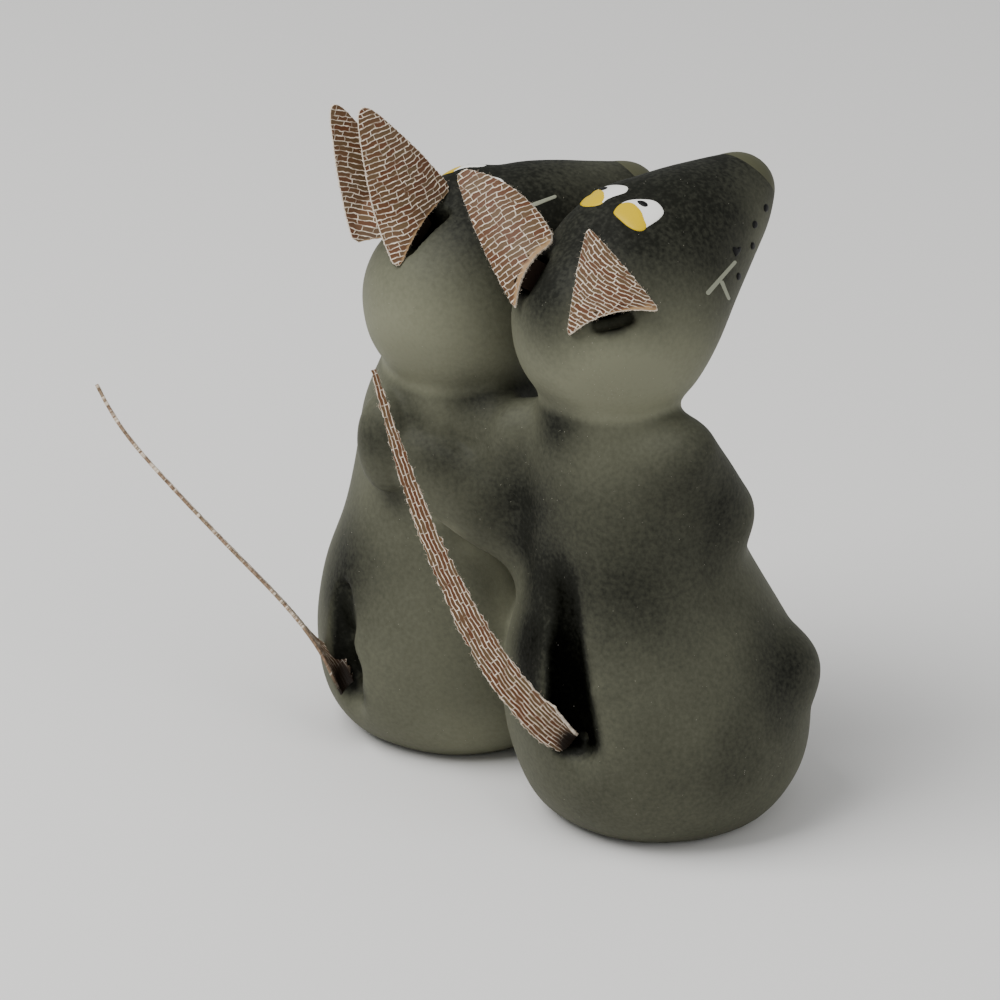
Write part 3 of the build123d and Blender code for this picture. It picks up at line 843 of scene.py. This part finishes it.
def earOutline(ear, tip):
    width, arch = earShape["width"], earShape["arch"]
    half, (leftSwell, rightSwell) = width * ear["width"] / 2, ear["swell"]
    stops = np.linspace(-1, 1, earShape["lowerStops"])
    lower = np.array([(half * s, -arch * s * s) for s in stops])
    right = bowed((half, -arch), tip, rightSwell * width)
    left = bowed(tip, (-half, -arch), leftSwell * width)
    leftCorner, rightCorner = ear["corners"]
    point = ear["point"] * width * earShape["pointRound"]
    return filletedLoop([lower, right, left], [rightCorner, point, leftCorner], leather["stitch"])


def sheetRings(loop, spacing):  # rings of points that fill an outline, from its centre out
    centre = loop.mean(0)
    width = np.linalg.norm(loop - centre, axis=1).max()
    shares = np.linspace(0, 1, int(width / spacing) + 1)[1:]
    return centre, [centre + (loop - centre) * share for share in shares]


def sheetPiece(name, centre, rings, liftOf, rubbed, material):
    # Skin side and flesh side of one sheet, closed round its cut edge. liftOf gives a point's
    # place from its place on the flat sheet and its depth below the skin.
    around, flat, depths = len(rings[0]), np.vstack([centre[None]] + rings), leather["cutDepths"]
    layers = [(flat, 0.0)] + [(rings[-1], depth) for depth in depths] + [(flat, 1.0)]
    back = len(flat) + around * len(depths)
    faces = discFaces(0, len(rings), around, 1) + discFaces(back, len(rings), around, -1)
    edges = [len(flat) - around, len(flat), len(flat) + around, back + len(flat) - around]
    for upper, lower in zip(edges, edges[1:]):
        faces += rimFaces(upper, lower, around)
    points = np.vstack([liftOf(places, depth) for places, depth in layers])
    piece = meshPiece(name, points, faces, material)
    note(piece, "hide", np.pad(np.vstack([places for places, depth in layers]), ((0, 0), (0, 1))))
    cut, flesh = np.zeros(len(points)), np.zeros(len(points))
    cut[len(flat) - around:len(flat)] = leather["skinRim"]
    cut[len(flat):back] = 1
    cut[-around:] = leather["fleshRim"]
    flesh[:len(flat)] = rubbed
    flesh[back:] = 1
    note(piece, "cut", cut)
    note(piece, "flesh", flesh)
    turnOutwards(piece, weld=0)
    return piece


lizard = {
    "brown": (0.105, 0.040, 0.016, 1),
    "olive": (0.110, 0.068, 0.032, 1),
    "cream": (0.80, 0.70, 0.57, 1),
    "suede": (0.34, 0.21, 0.10, 1),
    # painted shade in the hollow of a tail's rolled root end
    "glue": (0.012, 0.007, 0.004, 1),
    "roughness": 0.48,
    "shine": 0.22,
    "lineSharp": 0.3,
}
scaleRows = {
    "shift": 40 * mm,  # each row is shifted along by up to this
    "uneven": {"Scale": 220.0, "Detail": 0.0},  # scales of many lengths
    "unevenBy": 3.0 * mm,
    "worn": {"Scale": 700.0},
    "wearBy": 3.2,
    "wearFrom": -0.8,
    "jointWidth": 0.8,
    "jointHeight": 0.85,
}


def scaleLines(wiring, rowAt, across, seed, sizes, hide, sharp):
    # rows of scales: how much of a ridge there is at a place, and a chance value for its scale
    length, height, width = sizes
    calc = wiring.calc

    def ridgeAt(share, size, width):
        nearest = calc("MULTIPLY", calc("MINIMUM", share, calc("SUBTRACT", 1.0, share)), size)
        fall = wiring.add("ShaderNodeMapRange", {
            "Value": nearest, "From Min": calc("MULTIPLY", width, sharp), "From Max": width,
            "To Min": 1.0, "To Max": 0.0}, interpolation_type="SMOOTHSTEP")
        return fall.outputs["Result"]

    row = calc("FLOOR", rowAt)
    chance = wiring.add(
        "ShaderNodeTexWhiteNoise", {"W": calc("ADD", row, seed)}, noise_dimensions="1D")
    along = calc("ADD", across, calc("MULTIPLY", chance.outputs["Value"], scaleRows["shift"]))
    uneven = wiring.add(
        "ShaderNodeTexNoise", {"W": along, **scaleRows["uneven"]}, noise_dimensions="1D")
    centred = calc("SUBTRACT", uneven.outputs["Fac"], 0.5)
    stretch = calc("MULTIPLY", centred, scaleRows["unevenBy"])
    columnAt = calc("DIVIDE", calc("ADD", along, stretch), length)
    place = wiring.add("ShaderNodeCombineXYZ", {"X": row, "Y": calc("FLOOR", columnAt)})
    luck = wiring.add("ShaderNodeTexWhiteNoise", {"Vector": place.outputs[0]})
    worn = wiring.add("ShaderNodeTexNoise", {"Vector": hide, **scaleRows["worn"]})
    wear = calc("MULTIPLY", worn.outputs["Fac"], scaleRows["wearBy"])
    wear = calc("ADD", wear, scaleRows["wearFrom"])
    wear.node.use_clamp = True
    rowRidge = ridgeAt(calc("FRACT", rowAt), height, width)
    jointWidth = calc("MULTIPLY", width, scaleRows["jointWidth"])
    joint = ridgeAt(calc("FRACT", columnAt), length, jointWidth)
    joint = calc("MULTIPLY", joint, scaleRows["jointHeight"])
    return calc("MULTIPLY", calc("MAXIMUM", rowRidge, joint), wear), luck.outputs["Value"]


def leatherFinish():
    finish, wiring, skin = newFinish("lizardLeather")
    place, sizes = (
        wiring.split(wiring.painted(label)["Vector"]) for label in ("rowPlace", "scaleSize"))
    pattern, tint = scaleLines(
        wiring, place[0], place[1], wiring.calc("ROUND", place[2]), sizes,
        wiring.painted("hide")["Vector"], lizard["lineSharp"])
    colour = lizard["brown"]
    for over, share in (("olive", tint), ("cream", pattern),
                        ("suede", wiring.painted("flesh")["Fac"]),
                        ("cream", wiring.painted("cut")["Fac"]),
                        # the last mix is painted shade in a tail's rolled root end
                        ("glue", wiring.painted("glue")["Fac"])):
        plugs = {"Factor": share, "A": colour, "B": lizard[over]}
        colour = wiring.add("ShaderNodeMix", plugs, data_type="RGBA").outputs["Result"]
    wiring.plug(skin, {"Base Color": colour, "Roughness": lizard["roughness"],
                       "Specular IOR Level": lizard["shine"]})
    return finish


lizardLeather = leatherFinish()
strapLeather = plainFinish("strapLeather", (0.02, 0.012, 0.008), 0.85, shine=0.1)
wanders = [(300.0, 1.1 * mm), (1300.0, 0.5 * mm)]  # scale and size of the pattern's straying


def grainTree():  # presses rows of small scales into a sheet and raises the ridges between them
    wiring, given = newTree("pressGrain", {
        "Scale Length": "Float", "Scale Height": "Float", "Ridge Width": "Float",
        "Ridge Height": "Float", "Row Turn": "Float", "Row Bow": "Float", "Bow Middle": "Float",
        "Wander": "Float", "Seed": "Int"})
    calc, hide = wiring.calc, wiring.noted("hide", "FLOAT_VECTOR")
    wavy = hide
    for scale, spread in wanders:
        wander = wiring.add("ShaderNodeTexNoise", {
            "Vector": hide, "W": given["Seed"], "Scale": scale, "Detail": 1.0},
            noise_dimensions="4D")
        centred = wiring.vector("SUBTRACT", wander.outputs["Color"], (0.5, 0.5, 0.5))
        strayed = wiring.vector("SCALE", centred, calc("MULTIPLY", given["Wander"], spread))
        wavy = wiring.vector("ADD", wavy, strayed)
    turned = wiring.add("ShaderNodeVectorRotate", {
        "Vector": wavy, "Angle": given["Row Turn"]}, rotation_type="Z_AXIS")
    place = wiring.split(turned.outputs[0])
    fromMiddle = calc("SUBTRACT", place["X"], given["Bow Middle"])
    bow = calc("MULTIPLY", calc("MULTIPLY", fromMiddle, fromMiddle), given["Row Bow"])
    rowAt = calc("DIVIDE", calc("ADD", place["Y"], bow), given["Scale Height"])
    sizes = [given[label] for label in ("Scale Length", "Scale Height", "Ridge Width")]
    pattern = scaleLines(wiring, rowAt, place["X"], given["Seed"], sizes, hide, 0.0)[0]
    ridge = calc("MULTIPLY", pattern, calc("SUBTRACT", 1.0, wiring.noted("flesh")))
    normal = wiring.add("GeometryNodeInputNormal").outputs[0]
    lifted = wiring.vector("SCALE", normal, calc("MULTIPLY", ridge, given["Ridge Height"]))
    carried = given["Geometry"]  # the material draws the same lines from these two notes
    for label, values in (("rowPlace", (rowAt, place["X"], given["Seed"])), ("scaleSize", sizes)):
        packed = wiring.add("ShaderNodeCombineXYZ", dict(enumerate(values))).outputs[0]
        carried = wiring.add("GeometryNodeStoreNamedAttribute", {
            "Name": label, "Geometry": carried, "Value": packed},
            data_type="FLOAT_VECTOR", domain="POINT").outputs[0]
    moved = wiring.add("GeometryNodeSetPosition", {"Geometry": carried, "Offset": lifted})
    return wiring.close(moved.outputs[0], lizardLeather)


pressGrain = grainTree()


def throughTree(piece, tree, settings):  # runs a node tree over a piece and keeps the plain result
    modifier = piece.modifiers.new(tree.name, "NODES")
    modifier.node_group = tree
    sockets = {item.name: item.identifier for item in tree.interface.items_tree
               if item.item_type == "SOCKET" and item.in_out == "INPUT"}
    for label, value in settings.items():
        modifier[sockets[label]] = value
    bpy.context.view_layer.update()
    done = piece.evaluated_get(bpy.context.evaluated_depsgraph_get())
    mesh = bpy.data.meshes.new_from_object(done)
    piece.modifiers.remove(modifier)
    old = piece.data
    piece.data = mesh
    bpy.data.meshes.remove(old)


def pressLeather(piece, cut, hide):  # rows of scales, as the cut piece and its hide have them
    made = {**hide, **cut}
    throughTree(piece, pressGrain, {
        "Row Bow": made["bow"], "Bow Middle": made["bowMiddle"], "Wander": made["wander"],
        "Scale Length": made["scaleLength"], "Scale Height": made["scaleHeight"],
        "Ridge Width": made["ridgeWidth"], "Ridge Height": made["ridgeHeight"],
        "Row Turn": math.radians(made["rows"]), "Seed": made["seed"]})


def liftOverClay(laid, out, flat, swing):
    # The stiff leaf swings clear where it would sink into the clay: each place that needs
    # lifting raises a gentle cone round itself, and the leaf lies on the highest of them.
    step = max(len(flat) // earShape["tests"], 1)
    reach = earShape["castFrom"]
    needs = []
    for point, place in zip(laid[::step], flat[::step]):
        hit = claySkin.ray_cast(
            Vector(point + out * reach), Vector(-out), reach + leather["thickness"])[0]
        if hit is not None:
            need = (np.array(hit) - point) @ out + leather["thickness"] + earShape["clearOfClay"]
            needs.append((*place, need))
    if not needs:
        return np.zeros(len(flat))
    needs = np.array(needs)
    away = np.linalg.norm(flat[:, None] - needs[None, :, :2], axis=2)
    peak = (needs[None, :, 2] - away * swing).max(1)
    return np.logaddexp(0, peak / earShape["liftSoft"]) * earShape["liftSoft"]


def strapPiece(place, thickness):  # the tongue that goes down into the slit, four-sided and closed
    rootEnd = place["root"] - place["outward"] * earShape["strapDepth"]
    topEnd = place["middle"] + place["up"] * thickness - place["out"] * thickness / 2
    half = place["side"] * earShape["strapWidth"] / 2
    thick = place["out"] * thickness / 2 * earShape["strapThinned"]
    ends = []
    for end in (rootEnd, (rootEnd + topEnd) / 2, topEnd):
        ends += [end - half - thick, end + half - thick, end + half + thick, end - half + thick]
    faces = [(3, 2, 1, 0), (8, 9, 10, 11)]
    for ring in (0, 4):
        for k in range(4):
            n = (k + 1) % 4
            faces.append((ring + k, ring + n, ring + 4 + n, ring + 4 + k))
    return ends, faces


def raggedEdge(rough, count, window, spread):  # how far a cut edge strays at each of its points
    return np.convolve(rough.normal(size=count), np.ones(window) / window, mode="same") * spread


for name, ear in ears.items():
    place = earFrame(ear)
    loop = earOutline(ear, place["tip"])
    rough = np.random.default_rng(ear["seed"])
    stray = raggedEdge(rough, len(loop), leather["raggedRun"], leather["ragged"])
    centre, rings = sheetRings(loop, leather["stitch"])
    reach = loop - centre
    rings[-1] = rings[-1] + reach / np.linalg.norm(reach, axis=1)[:, None] * stray[:, None]
    middle, side, up, out, cross = (
        np.array(place[k]) for k in ("middle", "side", "up", "out", "cross"))

    def cupped(flat, radius, lift=0.0):
        spread = flat[:, :1] * side + flat[:, 1:] * up
        drop = np.sqrt(np.maximum(radius ** 2 - (spread @ cross) ** 2, 0)) - earShape["cupRadius"]
        return middle + spread + (drop + lift)[:, None] * out

    leaf = np.vstack([centre[None]] + rings)
    lifts = liftOverClay(cupped(leaf, earShape["cupRadius"]), out, leaf, ear["swing"])

    def onCup(flat, depth):
        inset = earShape["cupInset"]
        radius = earShape["cupRadius"] - inset - depth * (leather["thickness"] - inset)
        return cupped(flat, radius, lifts[-len(flat):])

    # the lizard finish is rubbed off along the lower edge, from the left corner to the right one
    acrossLeaf = leaf[:, 0] / (earShape["width"] * ear["width"] / 2)
    aboveEdge = leaf[:, 1] + earShape["arch"] * acrossLeaf ** 2
    atLeft, atRight = ear["bare"]
    margin = atLeft + (atRight - atLeft) * ((np.clip(acrossLeaf, -1, 1) + 1) / 2) ** ear["bareFrom"]
    worn = np.array([noise.noise(Vector((x, y, 0)) * earShape["wornScale"]) for x, y in leaf])
    rubbed = smoothStep(earShape["wornReach"] - aboveEdge / margin + earShape["wornRagged"] * worn)
    piece = sheetPiece(name + "_leather", centre, rings, onCup, rubbed, lizardLeather)
    pressLeather(piece, ear, leather)
    strapEnds, strapFaces = strapPiece(place, leather["thickness"])
    strap = meshPiece(name + "_strap", strapEnds, strapFaces, strapLeather, smooth=False)
    turnOutwards(strap)
    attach(strap, "root")
    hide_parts(name)
    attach(piece, "root")
print("ears:", len(ears))


# Tails: each route is in shares of its reach and rise, from the dent to the point
tails = {
    "hugging_mouse_tail": {
        "mouse": "hugging", "reach": 31.8 * mm, "rise": 60.2 * mm, "rows": 90, "seed": 5,
        "paleCut": 0.9, "turn": 0.0, "rootTurn": 0.0, "turnRun": 8 * mm, "curl": 95.0,
        "curlRun": 7 * mm, "curlStart": 0.2, "pinch": 0.3,
        "sunk": [(0, 4 * mm), (0.12, 1.0 * mm)], "bareFlesh": 1.0,
        # how far the painted shade in the rolled root end reaches, and how much it spares the edges
        "glued": 2.6 * mm, "edgeSpared": 1.1,
        "route": [(0, 0), (0.12, 0.05), (0.25, 0.12), (0.60, 0.416), (0.832, 0.712), (1, 1)]},
    "hugged_mouse_tail": {
        "mouse": "hugged", "reach": 41.4 * mm, "rise": 51.5 * mm, "rows": 90, "seed": 6,
        "paleCut": 0.12, "turn": 90.0, "rootTurn": -18.0, "turnRun": 5 * mm, "curl": 110.0,
        "curlRun": 6 * mm, "curlStart": -1.0, "pinch": 0.5,
        "sunk": [(0, 3 * mm)], "bareFlesh": 0.3,
        # how far the painted shade in the rolled root end reaches, and how much it spares the edges
        "glued": 5 * mm, "edgeSpared": 0.5,
        "route": [(0, 0), (0.14, 0.188), (0.425, 0.44), (0.71, 0.68), (0.937, 0.907), (1, 1)]},
}
tailShape = {
    "rootWidth": 6.2 * mm,
    "pointWidth": 0.9 * mm,
    "face": (135.0, 23.3),
    "frilly": 0.3 * mm,  # how far the cut edges stray
    "frillyRun": 7,
    "edgeOnly": 8,  # and how fast that dies away from them
    "cutFrom": 0.97,  # where the cut edge begins, as a share of the half width
    "skinDepth": 0.01,
    "leastCurl": 0.02,  # a strip that isn't curled at all would divide by zero
    "thickness": 0.5 * mm,
    "pinchRun": 4 * mm,
    "routeStops": 400,
    # strength of the painted shade in a tail's rolled root end
    "gluedEdge": 1.6,
}
tailHide = {
    "scaleLength": 2.8 * mm,
    "scaleHeight": 0.6 * mm,
    "ridgeWidth": 0.098 * mm,
    "ridgeHeight": 0.08 * mm,
    "wander": 0.6,
    "bow": 0.0,
    "bowMiddle": 0.0,
}


def smoothRoute(stops, count):  # natural cubic spline through the stops
    stops = np.array(stops, float)
    run = runOf(stops)
    size = len(run)
    gaps = np.diff(run)
    system = np.eye(size)
    sides = np.zeros((size, stops.shape[1]))
    for k in range(1, size - 1):
        system[k, k - 1:k + 2] = gaps[k - 1], 2 * (gaps[k - 1] + gaps[k]), gaps[k]
        after, before = (stops[k + 1] - stops[k]) / gaps[k], (stops[k] - stops[k - 1]) / gaps[k - 1]
        sides[k] = 6 * (after - before)
    bend = np.linalg.solve(system, sides)
    at = np.linspace(0, run[-1], count)
    piece = np.clip(np.searchsorted(run, at) - 1, 0, size - 2)
    t, gap = (at - run[piece])[:, None], gaps[piece][:, None]
    low, high = bend[piece], bend[piece + 1]
    slope = (stops[piece + 1] - stops[piece]) / gap - gap * (2 * low + high) / 6
    return stops[piece] + t * slope + t ** 2 * low / 2 + t ** 3 * (high - low) / (6 * gap)


def layTree():  # lays a flat strip along a route, curled and turned where it leaves the clay
    wiring, given = newTree("layTail", {
        "Route": "Object", "Facing": "Vector", "Turn": "Float", "Root Turn": "Float",
        "Turn Run": "Float", "Curl": "Float", "Curl Run": "Float", "Curl Start": "Float"})
    calc, vector = wiring.calc, wiring.vector
    place = wiring.split(wiring.noted("hide", "FLOAT_VECTOR"))
    across, along = place["X"], place["Y"]
    deep, half = wiring.noted("depth"), wiring.noted("halfWidth")
    route = wiring.add(
        "GeometryNodeObjectInfo", {"Object": given["Route"]}, transform_space="ORIGINAL")
    sample = wiring.add("GeometryNodeSampleCurve", {
        "Curves": route.outputs["Geometry"], "Length": along}, mode="LENGTH")
    tangent = sample.outputs["Tangent"]

    def nearRoot(run):  # 1 at the root, falling to 0 over the run
        share = calc("DIVIDE", along, run)
        return calc("EXPONENT", calc("MULTIPLY", calc("MULTIPLY", share, share), -1.0))

    rootTurn = calc("MULTIPLY", given["Root Turn"], nearRoot(given["Turn Run"]))
    turn = calc("ADD", given["Turn"], rootTurn)

    def swung(way):
        return wiring.add("ShaderNodeVectorRotate", {
            "Vector": way, "Axis": tangent, "Angle": turn}, rotation_type="AXIS_ANGLE").outputs[0]

    wide = swung(vector("NORMALIZE", vector("CROSS_PRODUCT", tangent, given["Facing"])))
    thick = swung(given["Facing"])
    curl = calc("MULTIPLY", given["Curl"], nearRoot(given["Curl Run"]))
    curl = calc("ADD", curl, tailShape["leastCurl"])
    flatEnd = calc("MULTIPLY", half, given["Curl Start"])
    rolled = calc("MAXIMUM", calc("SUBTRACT", across, flatEnd), 0.0)
    bend = calc("DIVIDE", curl, calc("SUBTRACT", half, flatEnd))
    angle = calc("MULTIPLY", bend, rolled)
    sine, cosine = calc("SINE", angle), calc("COSINE", angle)
    wideBy = calc("ADD", calc("MINIMUM", across, flatEnd), calc("DIVIDE", sine, bend))
    wideBy = calc("ADD", wideBy, calc("MULTIPLY", deep, sine))
    thickBy = calc("DIVIDE", calc("SUBTRACT", 1.0, cosine), bend)
    thickBy = calc("SUBTRACT", thickBy, calc("MULTIPLY", deep, cosine))
    offset = vector("ADD", vector("SCALE", wide, wideBy), vector("SCALE", thick, thickBy))
    moved = wiring.add("GeometryNodeSetPosition", {
        "Geometry": given["Geometry"],
        "Position": vector("ADD", sample.outputs["Position"], offset)})
    return wiring.close(moved.outputs[0], lizardLeather)


layTail = layTree()


def routeCurve(name, route):
    line = bpy.data.curves.new(name, "CURVE")
    line.dimensions = "3D"
    spline = line.splines.new("POLY")
    spline.points.add(len(route) - 1)
    for point, place in zip(spline.points, route):
        point.co = (*place, 1)
    return newObject(name, line)


for name, tail in tails.items():
    root = np.array(onBody(tail["mouse"], dents[tail["mouse"]][0]))
    turn, tilt = tailShape["face"]
    level = np.array(wayOf(turn + 90, 0))
    outward = np.array(wayOf(turn, tilt))
    rising = np.cross(outward, level)
    sunk = dict(tail["sunk"])
    stops = [root - level * out * tail["reach"] + rising * up * tail["rise"]
             - outward * sunk.get(out, 0.0) for out, up in tail["route"]]
    route = smoothRoute(stops, tailShape["routeStops"])
    length = np.linalg.norm(np.diff(route, axis=0), axis=1).sum()
    # flat blank, a closed ring of points at each station: skin, cut edge, flesh, cut edge
    count = int(length / leather["stitch"])
    share = np.linspace(0, 1, count)
    rootWidth, pointWidth = tailShape["rootWidth"], tailShape["pointWidth"]
    halfWidth = (rootWidth + (pointWidth - rootWidth) * share) / 2
    halfWidth *= 1 - tail["pinch"] * np.exp(-(share * length / tailShape["pinchRun"]) ** 2)
    across = np.linspace(-1, 1, int(rootWidth / leather["stitch"]))
    depths = leather["cutDepths"]
    profile = np.array([(a, 0.0) for a in across] + [(1.0, d) for d in depths]
                       + [(a, 1.0) for a in across[::-1]] + [(-1.0, d) for d in depths[::-1]])
    cells, fromMiddle = len(profile), np.abs(profile[:, 0])
    rough = np.random.default_rng(tail["seed"])
    right, left = (raggedEdge(rough, count, tailShape["frillyRun"], tailShape["frilly"])[:, None]
                   for rim in range(2))
    strayed = np.where(profile[None, :, 0] > 0, right, -left) * fromMiddle ** tailShape["edgeOnly"]
    blank = np.zeros((count, cells, 3), dtype=np.float32)
    blank[:, :, 0] = halfWidth[:, None] * profile[None, :, 0] + strayed
    blank[:, :, 1] = (share * length)[:, None]
    blank = blank.reshape(-1, 3)
    depth = np.tile((profile[:, 1] * tailShape["thickness"]).astype(np.float32), count)
    points = blank.copy()
    points[:, 2] = -depth
    faces = []
    for low in range(0, (count - 1) * cells, cells):
        for k in range(cells):
            n = (k + 1) % cells
            faces.append((low + k, low + n, low + cells + n, low + cells + k))
    faces.append(tuple(range(cells))[::-1])
    faces.append(tuple(range((count - 1) * cells, count * cells)))
    piece = meshPiece(name + "_leather", points, faces, lizardLeather)
    run, edgeSpared = np.repeat(share * length, cells), np.tile(fromMiddle ** 3, count)
    note(piece, "flesh", np.tile(profile[:, 1] > tailShape["skinDepth"], count) * tail["bareFlesh"])
    note(piece, "cut", np.tile(fromMiddle > tailShape["cutFrom"], count) * tail["paleCut"])
    # painted shade in the hollow of the rolled root end: darkest in the middle near the clay,
    # fading along the strip and towards its edges
    note(piece, "glue", smoothStep(
        tailShape["gluedEdge"] - run / tail["glued"] - edgeSpared * tail["edgeSpared"]))
    note(piece, "depth", depth)
    note(piece, "halfWidth", np.repeat(halfWidth, cells))
    note(piece, "hide", blank)
    path = routeCurve(name + "_route", route)
    throughTree(piece, layTail, {
        "Route": path, "Facing": tuple(float(v) for v in outward),
        "Turn": math.radians(tail["turn"]), "Root Turn": math.radians(tail["rootTurn"]),
        "Turn Run": tail["turnRun"], "Curl": math.radians(tail["curl"]),
        "Curl Run": tail["curlRun"], "Curl Start": tail["curlStart"]})
    line = path.data
    bpy.data.objects.remove(path)
    bpy.data.curves.remove(line)
    turnOutwards(piece, weld=0)
    pressLeather(piece, tail, tailHide)
    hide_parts(name)
    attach(piece, "root")
print("tails:", len(tails))


# Fibres that stand out of the cut edges, and dust on the clay
fuzz = {
    "perSquareMetre": 3.2e6,
    "length": 0.6 * mm,
    "thickness": 0.011 * mm,
    "bend": {"Start": (0, 0, 0), "Middle": (0.1, 0, 0.5), "End": (0.65, 0.2, 0.75)},
    "tip": 0.7,
}
dust = {
    "perSquareMetre": 9e4,
    "size": 0.055 * mm,
    "seed": 3,
    "tip": 0.3,
    "everywhere": 0.35,
    "spots": [((600, 375), 4 * mm, 9.0), ((612, 392), 3 * mm, 7.0), ((585, 405), 3 * mm, 3.0),
              ((508, 496), 2 * mm, 3.0), ((765, 770), 5 * mm, 2.0), ((560, 440), 5 * mm, 1.5)],
}
smallest = 0.35  # size of the smallest fibre or speck, as a share of the largest
paleFibre = plainFinish("paleFibre", (0.62, 0.52, 0.40), 0.8, shine=0.2)
paleDust = plainFinish("paleDust", (0.42, 0.40, 0.33), 0.9, shine=0.1)


def scatterTree(name, mask, material, tip, flat):  # scatters small pieces where a mask says
    wiring, given = newTree(name, {
        "Density": "Float", "Length": "Float", "Thickness": "Float", "Seed": "Int"})
    density = wiring.calc("MULTIPLY", wiring.noted(mask), given["Density"])
    scatter = wiring.add("GeometryNodeDistributePointsOnFaces", {
        "Mesh": given["Geometry"], "Density": density, "Seed": given["Seed"]},
        distribute_method="RANDOM")
    if flat:  # a speck
        shape = wiring.add(
            "GeometryNodeMeshIcoSphere", {"Subdivisions": 1, "Radius": given["Thickness"]})
    else:  # a bent fibre
        ends = {end: wiring.vector("SCALE", way, given["Length"])
                for end, way in fuzz["bend"].items()}
        line = wiring.add("GeometryNodeCurveQuadraticBezier", {"Resolution": 5, **ends})
        ring = wiring.add(
            "GeometryNodeCurvePrimitiveCircle", {"Resolution": 3, "Radius": given["Thickness"]})
        shape = wiring.add("GeometryNodeCurveToMesh", {
            "Fill Caps": True, "Curve": line.outputs[0], "Profile Curve": ring.outputs[0]})
    spin = wiring.add("FunctionNodeRandomValue", {
        "Min": (-tip, -tip, -math.pi), "Max": (tip, tip, math.pi), "Seed": given["Seed"]},
        data_type="FLOAT_VECTOR")
    turn = wiring.add("FunctionNodeRotateRotation", {
        "Rotation": scatter.outputs["Rotation"], "Rotate By": spin.outputs["Value"]},
        rotation_space="LOCAL")
    size = wiring.add("FunctionNodeRandomValue", {
        2: smallest, 3: 1.0, "Seed": given["Seed"]}, data_type="FLOAT")
    placed = wiring.add("GeometryNodeInstanceOnPoints", {
        "Points": scatter.outputs["Points"], "Instance": shape.outputs[0],
        "Rotation": turn.outputs[0], "Scale": size.outputs[1]})
    return wiring.close(placed.outputs[0], material)


edgeFuzz = scatterTree("edgeFuzz", "cut", paleFibre, fuzz["tip"], flat=False)
clayDust = scatterTree("clayDust", "dusty", paleDust, dust["tip"], flat=True)


def scattered(source, name, tree, settings, material):
    piece = newObject(name, source.data.copy())
    throughTree(piece, tree, settings)
    piece.data.materials.clear()
    piece.data.materials.append(material)
    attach(piece, "root")


for seed, name in enumerate(list(ears) + list(tails)):
    scattered(bpy.data.objects[name + "_leather"], name + "_fuzz", edgeFuzz, {
        "Density": fuzz["perSquareMetre"], "Length": fuzz["length"],
        "Thickness": fuzz["thickness"], "Seed": seed}, paleFibre)
clayPlaces = placesOf(clayPair)
dusty = np.full(len(clayPlaces), dust["everywhere"], dtype=np.float32)
for pixel, radius, amount in dust["spots"]:
    away = ((clayPlaces - np.array(onClay(pixel))) ** 2).sum(1)
    dusty += amount * np.exp(-away / radius ** 2)
note(clayPair, "dusty", dusty)
scattered(clayPair, "clay_dust", clayDust, {
    "Density": dust["perSquareMetre"], "Thickness": dust["size"], "Seed": dust["seed"]},
    paleDust)
print("fuzz and dust are on")


# Floor, light and camera
studio = {
    "floorColour": (0.80, 0.79, 0.77),
    "floorHalf": 3,
    "backColour": (0.86, 0.87, 0.88, 1),
    "backStrength": 0.55,
    "keyPower": 12.0,
    "keySize": 0.7,
    "keyPlace": (0.5, -0.5, 0.7),  # towards the camera, to its right, and up
    "fillPower": 2.5,
    "fillSize": 0.8,
    "fillPlace": (0.7, 0.7, 0.2),
}
half = studio["floorHalf"]
floorSheet = meshPiece(
    "floor", [(-half, -half, 0), (half, -half, 0), (half, half, 0), (-half, half, 0)],
    [(0, 1, 2, 3)], plainFinish("paleFloor", studio["floorColour"], 0.8), smooth=False)

for kind in ("key", "fill"):
    lamp = bpy.data.lights.new(kind + "Light", "AREA")
    lamp.size = studio[kind + "Size"]
    lamp.energy = studio[kind + "Power"]
    holder = newObject(kind + "Light", lamp)
    back, right, up = studio[kind + "Place"]
    holder.location = photo["aim"] + photoBack * back + photoRight * right + photoUp * up
    holder.rotation_euler = (photo["aim"] - holder.location).to_track_quat("-Z", "Y").to_euler()

world = bpy.data.worlds.new("studioAir")
world.use_nodes = True
air = world.node_tree.nodes["Background"].inputs
air["Color"].default_value = studio["backColour"]
air["Strength"].default_value = studio["backStrength"]
bpy.context.scene.world = world

lens = bpy.data.cameras.new("photoCamera")
lens.lens = photo["lens"]
lens.sensor_width = photo["sensor"]
lens.clip_start = photo["clipStart"]
camera = newObject("photoCamera", lens)
camera.location = photoEye
camera.rotation_euler = photoBack.to_track_quat("Z", "Y").to_euler()
bpy.context.scene.camera = camera
print("studio is set")

writeSize()
